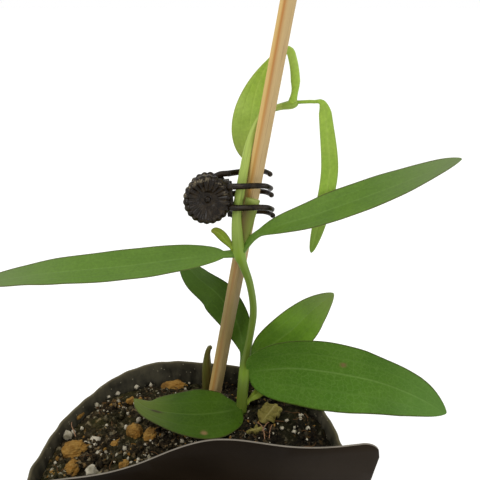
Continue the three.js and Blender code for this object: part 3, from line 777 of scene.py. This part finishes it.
# Shoot cut short beside the stem, pressed flat against the cane, with a pale dry cut.
shoot = {
    "route": [(16.3, 32.4, 146, 1.4), (17.2, 32.9, 152, 1.9), (18.4, 33.2, 158, 2.2),
              (19.8, 33.4, 164, 2.4)],
    "flat": 0.42,
}
points, faces, uv = sweptRod(shoot["route"], 90, 36, lambda s, a: 0.05 * np.cos(9 * a), flat=shoot["flat"],
                             roundEnds=(True, False))
# painted shade: browner and darker towards its left edge, in the seam against the stem
seamShadeFade = np.clip((points[:, 0] - 15.0 - (points[:, 2] - 146) * 0.17) / 2.6, 0, 1)
makePiece("side_shoot", points, faces, stemMaterial("cut_shoot", "#54491c", "#6d7a30", "#9aa858"), "stem",
          ["cut_side_shoot"], uv=uv, sharp=60,
          layers={"youth": 0.1 + 0.45 * seamShadeFade + 0.45 * np.clip((points[:, 2] - 159) / 5, 0, 1) ** 2,
                  "joint": 0 * seamShadeFade})

# Shoot that died back: dull olive brown, shrunken into long wrinkles.
dry = {"route": [(2.2, 39, 66, 1.0), (2.3, 39, 78, 1.6), (2.5, 39.2, 90, 1.75), (2.7, 39.3, 95, 1.5),
                 (3.0, 39.3, 99, 1.05), (3.9, 39.2, 101.6, 0.85), (4.7, 39.2, 101, 0.7)]}
dryStem = stemMaterial("dead_shoot", "#4f4a20", "#5c5626", "#55491f")
points, faces, uv = sweptRod(dry["route"], 120, 24,
                             lambda s, a: 0.13 * np.sin(5 * a + 7 * s) + 0.05 * np.cos(11 * a))
makePiece("dry_stub", points, faces, dryStem, "dry_stem", ["dry_shoot"], uv=uv,
          layers={"youth": (points[:, 2] - 70) / 60, "joint": 0 * points[:, 2]})
print("stems made")


# Leaves. Spine from the stem's middle to the tip; half width, where it is widest, how blunt
# the tip is, roll at base and tip, fold of the halves, share that is stalk, then its looks.
# Some have more: lobe rounds the base, neck and neckRun widen the stalk, cup hollows the blade,
# clear pales the midrib. Spots and slit are blemishes, by shares along the leaf and across it.
leaves = {
    "long_leaf_left": dict(
        spine=[(15.4, 32.5, 144.8), (-0.4, 33.0, 143), (-23, 27.1, 142.6), (-50.3, 24.3, 141.1),
               (-74.4, 20.7, 138.6)],
        half=7.1, widest=0.37, blunt=0.76, roll=(-70, -69), fold=7, stalk=0.06, neck=1.5, neckRun=(0, 0.02),
        look="mature"),
    "long_leaf_right": dict(
        spine=[(15.8, 32.6, 145.2), (22.8, 31.4, 153.1), (40.2, 29.4, 160.1), (61.5, 27.3, 169.5),
               (81.6, 23.9, 180.1)],
        half=6.7, widest=0.5, blunt=0.66, roll=(59, 72), fold=10, stalk=0.12, neck=1.4, neckRun=(0, 0.02),
        look="mature"),
    "broad_leaf_right": dict(
        spine=[(16.8, 29, 98.3), (36.1, 26.4, 101.8), (58.8, 19.3, 102.9), (71.8, 11.7, 103.0),
               (83.7, 6.6, 98.8)],
        half=14.5, widest=0.34, blunt=0.72, roll=(-2, 17), fold=15, stalk=0.02, look="broad",
        cup=1.7, clear=0.6, spots=[(0.5, -0.3, 1.0)]),
    "upright_leaf_right": dict(
        spine=[(16.9, 29.2, 99.2), (24.4, 35, 103.4), (34.6, 38.9, 109.4), (42.6, 42, 116.4),
               (51, 45, 122.2)],
        half=9.3, widest=0.48, blunt=0.69, roll=(9, -15), fold=8, stalk=0.08, look="upright"),
    "dark_leaf_behind": dict(
        spine=[(16.9, 29.3, 100), (15, 40.9, 110.4), (7.6, 47, 120), (-0.8, 51.1, 125.8),
               (-7.5, 53, 133.2)],
        half=8.4, widest=0.55, blunt=0.75, roll=(5, 24), fold=10, stalk=0.1, look="shaded"),
    "low_leaf_left": dict(
        spine=[(16.2, 24.6, 85.3), (10.6, 21.5, 86.1), (-1.3, 17.9, 88), (-15.4, 16.8, 91.3),
               (-22.4, 20.1, 93.2)],
        half=12.4, widest=0.46, blunt=0.85, lobe=0.56, roll=(-81, -104), fold=3, stalk=0.02, look="low",
        spots=[(0.4, -0.76, 1.0)], slit=(0.77, -0.1)),
    "arched_young_leaf": dict(
        spine=[(32.3, 43.4, 192.8), (33.2, 44.3, 198.5), (32.2, 45.2, 205.9), (30.1, 46.4, 208.8),
               (23.5, 47.2, 203.2), (19.5, 47.6, 190.5), (18.2, 47.4, 172.6)],
        half=6.1, widest=0.67, blunt=0.7, roll=(-3, -1), fold=5, stalk=0.36, neck=1.6, look="young"),
    "drooping_young_leaf": dict(
        spine=[(34, 42.9, 193.4), (38.5, 39.6, 194.1), (41.3, 38, 193.7), (42.8, 37.5, 187.1),
               (44.8, 37.5, 171.8), (43.1, 37.3, 157.2), (40.3, 37, 142.9)],
        half=2.8, widest=0.53, blunt=0.51, roll=(-1, -2), fold=3, stalk=0.12, stalkHalf=0.55,
        neck=2.2, neckRun=(0.1, 0.2), look="drooping"),
    "axil_bud_leaf": dict(
        spine=[(13.6, 32.0, 146.4), (8.7, 31, 153), (6.1, 30.6, 154.2)],
        half=1.7, widest=0.58, blunt=0.44, roll=(0, 0), fold=5, stalk=0.1, look="bud"),
    "basal_leaflet": dict(
        spine=[(16.3, 24.9, 85.2), (20.3, 27.4, 88), (26.6, 31.4, 91)],
        half=2.3, widest=0.6, blunt=0.6, roll=(0, 10), fold=12, stalk=0.2, look="bud"),
}
# green, second green of its slow patches, vein, edge and tip of each kind of leaf
leafLooks = {
    "mature": ("#567427", "#4e6c22", "#65833a", "#45401e", "#6a7850"),
    "broad": ("#517524", "#496e20", "#718f48", "#3a3416", "#4e6e30"),
    "upright": ("#4a6c12", "#608420", "#6b8838", "#47421d", "#66743a"),
    # shaded and low are darker greens: painted shade for the leaves behind and under the others
    "shaded": ("#446018", "#3b5612", "#5c7834", "#33341a", "#4e6a2c"),
    "low": ("#3a5410", "#324a0c", "#587030", "#39361a", "#626c30"),
    "young": ("#87a338", "#9ab252", "#9bb04e", "#869440", "#8a944a"),
    "drooping": ("#7c9a34", "#869f3c", "#93a94c", "#7d9440", "#64802f"),
    "bud": ("#687c1c", "#748628", "#889a40", "#5e6020", "#6f7224"),
}
# dusty lower leaves shine less
leafGloss = {"low": 0.08, "broad": 0.12, "shaded": 0.1, "withered": 0.05}
# how clearly the net of small veins shows
leafNet = {"broad": 0.28, "low": 0.16, "upright": 0.16}
leafPlan = {"steps": 112, "thick": 0.34, "stalk": 0.9, "ribDrop": 0.32, "veinDrop": 0.05, "ripple": 0.16,
            "clasp": 0.55}


# Leathery leaf: waxy skin over netted veins, so a soft broad gloss, paler below.
def leafMaterial(name, look):
    green, second, vein, edge, tip = [toLinear(c) for c in leafLooks[look]]
    material, tree, shader = newMaterial(name, IOR=1.45, Specular_IOR_Level=leafGloss.get(look, 0.2))
    place = objectPlace(tree)
    layer = {key: painted(tree, key) for key in ("vein", "margin", "tip", "under", "spot")}
    patch = noiseNode(tree, place, 13, 3)
    fine = noiseNode(tree, place, 0.9, 4)
    patchShare = remap(tree, patch, 0.36, 0.64)
    body = blend(tree, patchShare, green, second)
    # net of small veins, cells about 1.8 mm
    bend = noiseNode(tree, place, 2.5, 2)
    net = addNode(tree, "ShaderNodeTexVoronoi", {0: warped(tree, place, bend, 0.0012), "Scale": perMm(1.8)},
                  feature="DISTANCE_TO_EDGE")
    netShare = remap(tree, net.outputs[0], 0.0, 0.09, leafNet.get(look, 0.08), 0.0)
    veins = calc(tree, "MAXIMUM", netShare, layer["vein"])
    veined = blend(tree, veins, body, vein)
    mottleShare = remap(tree, fine, 0.3, 0.7, 0.9, 1.1)
    mottled = blend(tree, 1.0, veined, mottleShare, "MULTIPLY")
    under = calc(tree, "MULTIPLY", layer["under"], 0.45)
    for share, colour in ((layer["tip"], tip), (layer["margin"], edge), (layer["spot"], "#7a6440"),
                          (under, "#8a9c66")):
        mottled = blend(tree, share, mottled, colour)
    feed(tree, shader, Base_Color=mottled, Roughness=remap(tree, fine, 0, 1, 0.42, 0.56))
    heights = calc(tree, "SUBTRACT", netShare, fine)
    bumpInto(tree, shader, heights, 0.25, 0.1)
    return material


def leafPiece(name, leaf, material, slot, thick=leafPlan["thick"], crumple=0.0):
    path, length = smoothRoute(leaf["spine"], 600)
    middle = np.linspace(0.12, 0.9, leafPlan["steps"] - 40, endpoint=False)
    # rows crowd at the stalk and at the tip
    share = np.r_[np.linspace(0, 0.12, 18, endpoint=False), middle, np.linspace(0.9, 0.9985, 23)]
    even = np.linspace(0, 1, 601)
    centres, tangents = [np.stack([np.interp(share, even, rows[:, k]) for k in range(3)], 1)
                         for rows in (path, unit(np.gradient(path, axis=0)))]
    tangents = unit(tangents)
    side = unit(np.cross(tangents, (0, -1.0, 0)))
    normal = np.cross(side, tangents)
    roll = np.radians(leaf["roll"][0] + (leaf["roll"][1] - leaf["roll"][0]) * share)[:, None]
    across = side * np.cos(roll) + normal * np.sin(roll)
    up = normal * np.cos(roll) - side * np.sin(roll)
    before = leaf.get("lobe", leaf["widest"] * leaf["blunt"] / (1 - leaf["widest"]))
    widest = before / (before + leaf["blunt"])
    peak = widest ** before * (1 - widest) ** leaf["blunt"]
    blade = np.clip((share - leaf["stalk"]) / (1 - leaf["stalk"]), 0, 1)
    clasp = leafPlan["clasp"] * gaussian(share * length, 2.5) * (length > 30)
    stalk = leaf.get("stalkHalf", leafPlan["stalk"]) * (1 - blade) ** 3
    if "stalkHalf" not in leaf:
        stalk = stalk + clasp
    neckStart, neckFull = leaf.get("neckRun", (0, 0.12))
    neck = leaf.get("neck", 0) * np.clip((share - neckStart) / (neckFull - neckStart), 0, 1) * (1 - share)
    spread = leaf["half"] * blade ** before * (1 - blade) ** leaf["blunt"] / peak
    half = (spread ** 3 + stalk ** 3 + neck ** 3) ** (1 / 3)
    if crumple:
        half = half * np.array([1 + 0.3 * noise.noise(Vector((s * length / 1.1, 0, 9))) for s in share])
    # columns crowd at the midrib, the side veins and the margin
    right = np.array([0, 0.02, 0.045, 0.08, 0.13, 0.19, 0.26, 0.33, 0.4, 0.45, 0.48, 0.5, 0.52, 0.55, 0.61,
                      0.68, 0.74, 0.78, 0.8, 0.82, 0.86, 0.91, 0.95, 0.98, 1.0])
    v = np.r_[-right[:0:-1], right]
    fold = math.radians(leaf["fold"])
    w = np.abs(v)[None]
    x = half[:, None] * v[None]
    leafy = np.clip(blade * 6, 0, 1)[:, None] * np.clip((1 - blade) * 9, 0, 1)[:, None]
    mainVein = gaussian(x, 0.22 + 0.2 * (1 - blade[:, None]))
    sideVein = (gaussian(w - 0.5, 0.025) + 0.6 * gaussian(w - 0.8, 0.02)) * leafy
    seed = Vector((leaf["half"] * 7, leaf["fold"], len(name)))
    wave = np.array([[noise.noise(Vector((s * length / 9, c * 1.4, 0)) + seed) for c in v] for s in share])
    if crumple:
        wave = wave + np.array([[noise.noise(Vector((s * length / 1.6, c * 3.2, 5)) + seed) for c in v]
                                for s in share])
    lift = half[:, None] * math.sin(fold) * np.sqrt(w ** 2 + 0.0016) ** leaf.get("cup", 1.25)
    lift = lift + (leafPlan["ripple"] + crumple) * wave * leafy * (0.3 + w ** 2 * 2)
    out = x * math.cos(fold)
    plate = thick / 2 * (1 - 0.75 * w ** 8)
    rib = stalk[:, None] * 0.8
    bladeShare = np.clip(blade * 12, 0, 1)[:, None]
    rounded = rib * np.sqrt(np.clip(1 - w ** 2, 0, 1)) * (1 - bladeShare)
    ribBelow = rib * gaussian(x, 0.9) * bladeShare + rounded
    ribAbove = rounded + rib * 0.25 * gaussian(x, 0.8) * bladeShare
    upper = lift + plate + ribAbove - leafPlan["veinDrop"] * (mainVein * 1.6 + sideVein) * leafy
    lower = lift - plate - ribBelow - (leafPlan["ribDrop"] * mainVein * (1 - blade[:, None] * 0.6)
                                       + leafPlan["veinDrop"] * sideVein) * leafy
    skins = [centres[:, None] + across[:, None] * out[..., None] + up[:, None] * h[..., None]
             for h in (upper, lower)]
    rows, columns = len(share), len(v)
    points = np.vstack([s.reshape(-1, 3) for s in skins])
    top = gridFaces(rows, columns)
    shift = rows * columns
    faces = [tuple(reversed(f)) for f in top] + [tuple(i + shift for i in f) for f in top]
    border = ([(i, i + 1) for i in range(columns - 1)]
              + [(r * columns + columns - 1, (r + 1) * columns + columns - 1) for r in range(rows - 1)]
              + [((rows - 1) * columns + i + 1, (rows - 1) * columns + i) for i in range(columns - 1)]
              + [((r + 1) * columns, r * columns) for r in range(rows - 1)])
    faces += [(one, two, two + shift, one + shift) for one, two in border]
    veins = np.clip(leaf.get("clear", 0.4) * (mainVein * leafy + sideVein * 0.3), 0, 1)
    margin = np.clip((x * np.sign(v) - half[:, None] + 0.5) / 0.3, 0, 1) * 0.8 * leafy
    if "slit" in leaf:
        su, sv = leaf["slit"]
        torn = gaussian((share[:, None] - su) * length, 1.7) * gaussian(x - half[:, None] * sv, 0.6)
        margin = np.maximum(margin, np.clip(2 * torn, 0, 1))
    tipShare = np.clip((blade - 0.55) / 0.45, 0, 1)[:, None] ** 1.3 * 0.85 + 0 * w
    spot = 0 * tipShare
    for su, sv, size in leaf.get("spots", ()):
        far = np.hypot((share[:, None] - su) * length, x - half[:, None] * sv)
        spot = np.maximum(spot, np.clip(1.6 - far / size * 1.2, 0, 1))
    layers = {"vein": veins, "margin": margin, "tip": tipShare, "spot": spot}
    layers = {key: np.tile(values.ravel(), 2) for key, values in layers.items()}
    layers["under"] = np.r_[np.zeros(shift), np.full(shift, 0.0 if crumple else 1.0)]
    return makePiece(name + "_blade", points, faces, material, slot, [name], layers=layers)


slots = {"mature": "mature_leaf", "broad": "mature_leaf", "upright": "mature_leaf", "shaded": "dark_leaf",
         "low": "dark_leaf", "young": "young_leaf", "drooping": "young_leaf", "bud": "young_leaf"}
leafSkins = {look: leafMaterial("leaf_" + look, look) for look in leafLooks}
for name, leaf in leaves.items():
    leafPiece(name, leaf, leafSkins[leaf["look"]], slots[leaf["look"]])
print("leaves made")

# Withered scraps: dry papery leaf, matt, curled and crumpled.
scraps = {
    "withered_leaf_large": dict(
        spine=[(29.0, 25.2, 85.6), (26.1, 20.6, 85.9), (23.4, 16.8, 85.2)],
        half=3.7, widest=0.45, blunt=0.42, roll=(82, 94), fold=-14, stalk=0.04),
    "withered_leaf_small": dict(
        spine=[(23.1, 14.5, 84.9), (20.6, 13.2, 85.5), (17.8, 12.2, 85.2)],
        half=1.7, widest=0.5, blunt=0.4, roll=(-84, -96), fold=-22, stalk=0.04),
}
leafLooks["withered"] = ("#948c4c", "#6b6230", "#a89c66", "#4c4524", "#746a38")
witheredSkin = leafMaterial("dry_leaf_paper", "withered")
for name, leaf in scraps.items():
    leafPiece(name, leaf, witheredSkin, "withered_leaf", crumple=1.0)
print("withered scraps made")


# Plant label: die-cut polystyrene card, soft sheen, with a painted sheen lightening its right end, paler
# where the cut edge shows.
label = {
    "wave": [
        (-42, 41), (-36, 41), (-30, 40.8), (-25, 41.1), (-21, 41.8), (-17, 42.9), (-13, 44.4),
        (-9, 46.2), (-5, 47.9), (-1, 49.2), (3, 50), (7, 49.7), (11, 48.6), (15, 46.9), (19, 45.2),
        (23, 43.9), (28, 43), (33, 42.8), (37, 43.2), (42, 43.3),
    ],
    "width": 84, "corner": 3.5, "sideDrop": 17, "taper": 4,
    "headHeight": 41, "tailWidth": 14, "tailLength": 48, "thick": 0.45, "bow": 0.8,
    "foot": (13.6, -26.6, 81.4), "turn": 10, "tilt": 12,
    # dust colour: a real haze of dust over the face, and the painted sheen at the right end
    "brown": "#110b05", "edge": "#7b7467", "dust": "#271f16",
}


# Side of the card's head, from one end of the curve to the other in 14 steps.
def bezier(*controls):
    p0, p1, p2, p3 = np.array(controls, float)
    t = np.linspace(0, 1, 15)[1:, None]
    curve = (1 - t) ** 3 * p0 + 3 * (1 - t) ** 2 * t * p1 + 3 * (1 - t) * t ** 2 * p2 + t ** 3 * p3
    return [tuple(p) for p in curve]


halfWide, tailHalf, corner = label["width"] / 2, label["tailWidth"] / 2, label["corner"]
shoulder = label["headHeight"] - corner
sideEnd, narrow = shoulder - label["sideDrop"], halfWide - label["taper"]
waveX, waveZ = np.array(label["wave"]).T
outline = [(-tailHalf, -label["tailLength"]), (tailHalf, -label["tailLength"]), (tailHalf, -1)]
outline += bezier((tailHalf, -1), (tailHalf, 4), (narrow - 6, 8), (narrow, sideEnd))
outline.append((halfWide, shoulder))
outline += [(halfWide - corner * (1 - math.cos(a)), waveZ[-1] - corner * (1 - math.sin(a)))
            for a in np.linspace(0.15, math.pi / 2, 8)]
for x in np.arange(halfWide - corner - 1, -halfWide + corner, -1.0):
    outline.append((x, np.mean([np.interp(x + shift, waveX, waveZ) for shift in (-2, -1, 0, 1, 2)])))
outline += [(-halfWide + corner * (1 - math.sin(a)), waveZ[0] - corner * (1 - math.cos(a)))
            for a in np.linspace(0, math.pi / 2 - 0.15, 8)]
outline += [(-halfWide, shoulder), (-narrow, sideEnd)]
outline += bezier((-narrow, sideEnd), (-narrow + 6, 8), (-tailHalf, 4), (-tailHalf, -1))
card = bmesh.new()
card.faces.new([card.verts.new((x, 0, z)) for x, z in outline])
cuts = [((x, 0, 0), (1, 0, 0)) for x in np.arange(-40, 41, 4.0)]
cuts += [((0, 0, z), (0, 0, 1)) for z in np.arange(-44, 48, 4.0)]
for at, across in cuts:
    whole = card.verts[:] + card.edges[:] + card.faces[:]
    bmesh.ops.bisect_plane(card, geom=whole, plane_co=at, plane_no=across)
bmesh.ops.triangulate(card, faces=card.faces[:])
pushed = bmesh.ops.extrude_face_region(card, geom=card.faces[:])["geom"]
for vert in [g for g in pushed if isinstance(g, bmesh.types.BMVert)]:
    vert.co.y += label["thick"]
bmesh.ops.recalc_face_normals(card, faces=card.faces)
rimEdges = [e for e in card.edges if len(e.link_faces) == 2
            and abs(abs(e.link_faces[0].normal.y) - abs(e.link_faces[1].normal.y)) > 0.5]
bmesh.ops.bevel(card, geom=rimEdges, offset=0.1, segments=2, profile=0.5, affect="EDGES")
turnCard = Matrix.Rotation(math.radians(90 + label["tilt"]), 3, "X") @ Matrix.Rotation(
    math.radians(label["turn"]), 3, "Z")
card.verts.ensure_lookup_table()
points = []
for vert in card.verts:
    bowed = label["bow"] * (vert.co.x / halfWide) ** 2 * np.clip((vert.co.z + 5) / 30, 0, 1)
    depth = -(vert.co.y - label["thick"] / 2) + bowed
    points.append(turnCard @ Vector((vert.co.x, vert.co.z, depth)) + Vector(label["foot"]))
faces = [[v.index for v in f.verts] for f in card.faces]
sideFace = [abs(f.normal.y) < 0.8 for f in card.faces]
card.free()

labelMaterial, tree, shader = newMaterial("polystyrene_card", IOR=1.55, Specular_IOR_Level=0.02)
place = objectPlace(tree)
haze = noiseNode(tree, place, 22, 4)
scuff = noiseNode(tree, place, 1.3, 5)
hazeShare = remap(tree, haze, 0.4, 0.75, 0.0, 0.35)
# painted sheen: the right end is lightened with the dust colour, from 20 mm to 58 mm right of the middle
along = addNode(tree, "ShaderNodeSeparateXYZ", {0: place})
rightSheen = remap(tree, along.outputs[0], 0.02, 0.058, 0.0, 0.8)
# haze of dust plus the painted sheen at the right end
film = calc(tree, "ADD", hazeShare, rightSheen, clamped=True)
face = blend(tree, film, label["brown"], label["dust"])
feed(tree, shader, Base_Color=face, Roughness=remap(tree, scuff, 0, 1, 0.28, 0.46))
cutMaterial = twoTone("cut_card_edge", 2, label["edge"], "#5e564b", detail=3, Roughness=0.6, IOR=1.55,
                      Specular_IOR_Level=0.3)
labelPiece = makePiece("label_card", [tuple(p) for p in points], faces, [labelMaterial, cutMaterial],
                       "label_plastic", ["plant_label"], sharp=30)
labelPiece.data.polygons.foreach_set("material_index", [int(s) for s in sideFace])
print("label made")


# Spring clip: moulded polypropylene, dark brown, semi-gloss, dust and painted highlights on its crests.
clip = {
    "hinge": (11, 36.6, 164.9), "rise": 4.5, "tilt": 10, "splay": 10,
    "pinHole": 0.8, "lugRadius": 1.4, "lugInner": 3, "lugOuter": 4.4,
    "plateNear": 2.2, "plateFar": 3.3, "plateLeft": -3.4, "plateRight": 0.8,
    "pad": 7.9, "padCentre": -6.6, "padDrop": 1, "flutes": 22, "fluteDepth": 0.4, "tine": 1.0,
    "frontTine": [(0.3, -2.9, 0), (3.2, -4.4, 0), (6.5, -5.4, 0), (10, -5.6, 0.1), (13, -4.6, 0.6),
                  (14.4, -2.8, 1.5), (14.7, -1.2, 2.1)],
    "rearTine": [(0.3, 2.9, 0), (3.2, 4.7, 0), (7, 6.2, 0), (10.5, 6.1, 0.1), (13.2, 4.8, 0.4),
                 (14.8, 2.6, 1), (15, 1.4, 1.4)],
    "arch": [(-5.2, 2.6, 3.2, 1.3), (-3.6, 2.9, 5, 1.2), (-1.6, 3, 6, 1.05), (0.6, 3, 6.1, 1),
             (2, 3.5, 6, 0.98)],
    "frontHeights": (2.6, -4.4), "rearHeights": (6, -1, -8),
    "brown": "#150f08", "worn": "#382d1c", "dust": "#7d725b",
}
clipTilt = Matrix.Rotation(math.radians(-clip["tilt"]), 4, "X")
clipRise = Matrix.Rotation(math.radians(-clip["rise"]), 4, "Y")
clipPlace = np.array(Matrix.Translation(Vector(clip["hinge"])) @ (clipTilt @ clipRise))

clipMaterial, tree, shader = newMaterial("moulded_clip_plastic", IOR=1.49, Specular_IOR_Level=0.18)
place = objectPlace(tree)
scuff = noiseNode(tree, place, 1.6, 5, 0.7)
wear = remap(tree, scuff, 0.45, 0.7, 0.0, 0.7)
worn = blend(tree, wear, clip["brown"], clip["worn"])
blot = remap(tree, scuff, 0.5, 0.62)
# dust and painted highlights on the crests, in one pale colour
dustAndHighlightShare = calc(tree, "MULTIPLY", blot, painted(tree, "crestDustAndHighlight"))
dustedAndHighlit = blend(tree, dustAndHighlightShare, worn, clip["dust"])
feed(tree, shader, Base_Color=dustedAndHighlit, Roughness=remap(tree, scuff, 0.4, 0.7, 0.2, 0.45))


# Thumb pad: a shallow dish with a scalloped rim and a ridge behind each scallop.
def padPoints(back):
    rim = clip["pad"]
    profile = [(0, 0), (3, 0), (rim - 2.4, 0), (rim - 1.4, 0.05), (rim - 0.6, 0.3), (rim - 0.1, 0.75),
               (rim, 1.2), (rim - 0.25, 1.7), (rim - 0.8, 2.15), (rim - 1.4, 2.4), (rim - 2.1, 2.2),
               (rim - 3, 1.85), (rim - 4, 1.4), (3.1, 1.05), (2.6, 0.8), (2.3, 0.6), (1.4, 0.55),
               (1.1, 0.65), (0.85, 1.05), (0.5, 1.28), (0, 1.33)]
    profile, _ = smoothRoute([(r, h, 0) for r, h in profile], 84)
    segments = clip["flutes"] * 14
    angle = fullTurn(segments)
    lobe = np.sqrt(np.cos(clip["flutes"] / 2 * angle) ** 2 + 0.03) * 2 - 1.27
    r, h = profile[1:-1, 0][:, None], profile[1:-1, 1][:, None]
    reach = np.clip((r - 2.8) / (rim - 2.8), 0, 1)
    radius = r * (1 + clip["fluteDepth"] * lobe * reach / rim * 0.55)
    face = h + 0.34 * lobe * reach ** 0.7 * (1 - reach ** 6) * (h > 0.4)
    dish = np.stack([radius * np.cos(angle), -face + 0 * radius, radius * np.sin(angle)], -1)
    rows = len(profile) - 2
    points = np.vstack([dish.reshape(-1, 3), [[0, 0, 0], [0, -profile[-1, 1], 0]]])
    faces = gridFaces(rows, segments, closed=True)
    faces += [(len(points) - 2, (k + 1) % segments, k) for k in range(segments)]
    last = (rows - 1) * segments
    faces += [(len(points) - 1, last + k, last + (k + 1) % segments) for k in range(segments)]
    if back > 0:
        points = points * (1, -1, 1)
        faces = [tuple(reversed(f)) for f in faces]
    return points + (clip["padCentre"], back * clip["plateNear"], -clip["padDrop"]), faces


def roundedBox(low, high, bevel):
    box = bmesh.new()
    bmesh.ops.create_cube(box, size=1)
    for vert in box.verts:
        vert.co = Vector([low[k] + (high[k] - low[k]) * (vert.co[k] + 0.5) for k in range(3)])
    bmesh.ops.bevel(box, geom=box.edges[:], offset=bevel, segments=3, profile=0.5, affect="EDGES")
    return unpack(box)


def jawPiece(name, back, tine, heights, lugLow, lugHigh, node, body):
    spin = spinZ(-back * math.radians(clip["splay"]))
    parts = [padPoints(back)]
    near, far = sorted((back * clip["plateNear"], back * clip["plateFar"]))
    parts.append(roundedBox((clip["plateLeft"], near, -clip["lugOuter"]),
                            (clip["plateRight"], far, clip["lugOuter"]), 0.3))
    for up in (1, -1):
        lowZ, highZ = sorted((up * lugLow, up * lugHigh))
        cheekNear, cheekFar = sorted((0, back * (clip["plateNear"] + 0.4)))
        parts.append(roundedBox((-clip["lugRadius"] - 0.4, cheekNear, lowZ),
                                (clip["lugRadius"] - 0.4, cheekFar, highZ), 0.12))
        parts.append(cylinderAlongZ(clip["lugRadius"], lowZ, highZ))
    parts = [(np.asarray(p) @ spin.T, f) for p, f in parts]
    top, bottom = max(heights), min(heights)
    near, far = sorted((back * 2.45, back * 3.75))
    parts.append(roundedBox((-0.3, near, bottom - 0.6), (2.1, far, min(top, 3) + 0.6), 0.3))
    if top > 3:
        # the top tine springs from the pad's upper edge in an arch
        arch = [(x, back * y, z, radius) for x, y, z, radius in clip["arch"]]
        parts.append(sweptRod(arch, 60, 22)[:2])
    for height in heights:
        rows = [(x, y, height - drop, clip["tine"] * (1.08 - 0.015 * x + 0.2 * (k == len(tine) - 1)))
                for k, (x, y, drop) in enumerate(tine)]
        parts.append(sweptRod(rows, 70, 20)[:2])
    whole = looseMesh(name, *parts[0])
    for points, faces in parts[1:]:
        boolean(whole, looseMesh("part", points, faces), "UNION")
    boolean(whole, looseMesh("bore", *cylinderAlongZ(clip["pinHole"], -12, 12)))
    points = np.array([v.co for v in whole.data.vertices]) / mm
    faces = [list(p.vertices) for p in whole.data.polygons]
    bpy.data.objects.remove(whole)
    padAway = np.hypot(points[:, 0] - clip["padCentre"], points[:, 2] + clip["padDrop"])
    # crest mask: dust and painted highlights along the pad's rim crest, stronger on its upper side
    crestDustAndHighlight = np.clip(1 - np.abs(padAway - clip["pad"] + 1.2), 0, 1) * np.clip(points[:, 2] / 4 + 0.6, 0.1, 1)
    world = points @ clipPlace[:3, :3].T + clipPlace[:3, 3]
    return makePiece(name, world, faces, clipMaterial, "clip_plastic", [node], body=body,
                     layers={"crestDustAndHighlight": crestDustAndHighlight}, sharp=38)


jawPiece("front_jaw", -1, clip["frontTine"], clip["frontHeights"], clip["lugInner"], clip["lugOuter"],
         "clip_front_jaw", "plant")
jawPiece("rear_jaw_half", 1, clip["rearTine"], clip["rearHeights"], 1.3, clip["lugInner"] - 0.3,
         "clip_rear_jaw", "rear_jaw")

# Pin and spring: drawn steel wire, zinc bright with a little brown dust.
steelMaterial = twoTone("zinc_plated_wire", 0.7, "#a9a8a3", "#6d675c", detail=3, Metallic=1.0,
                        Roughness=0.32)
for node in ("clip_hinge_pin", "clip_spring"):
    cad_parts[node].data.materials.clear()
    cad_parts[node].data.materials.append(steelMaterial)
print("clip made")
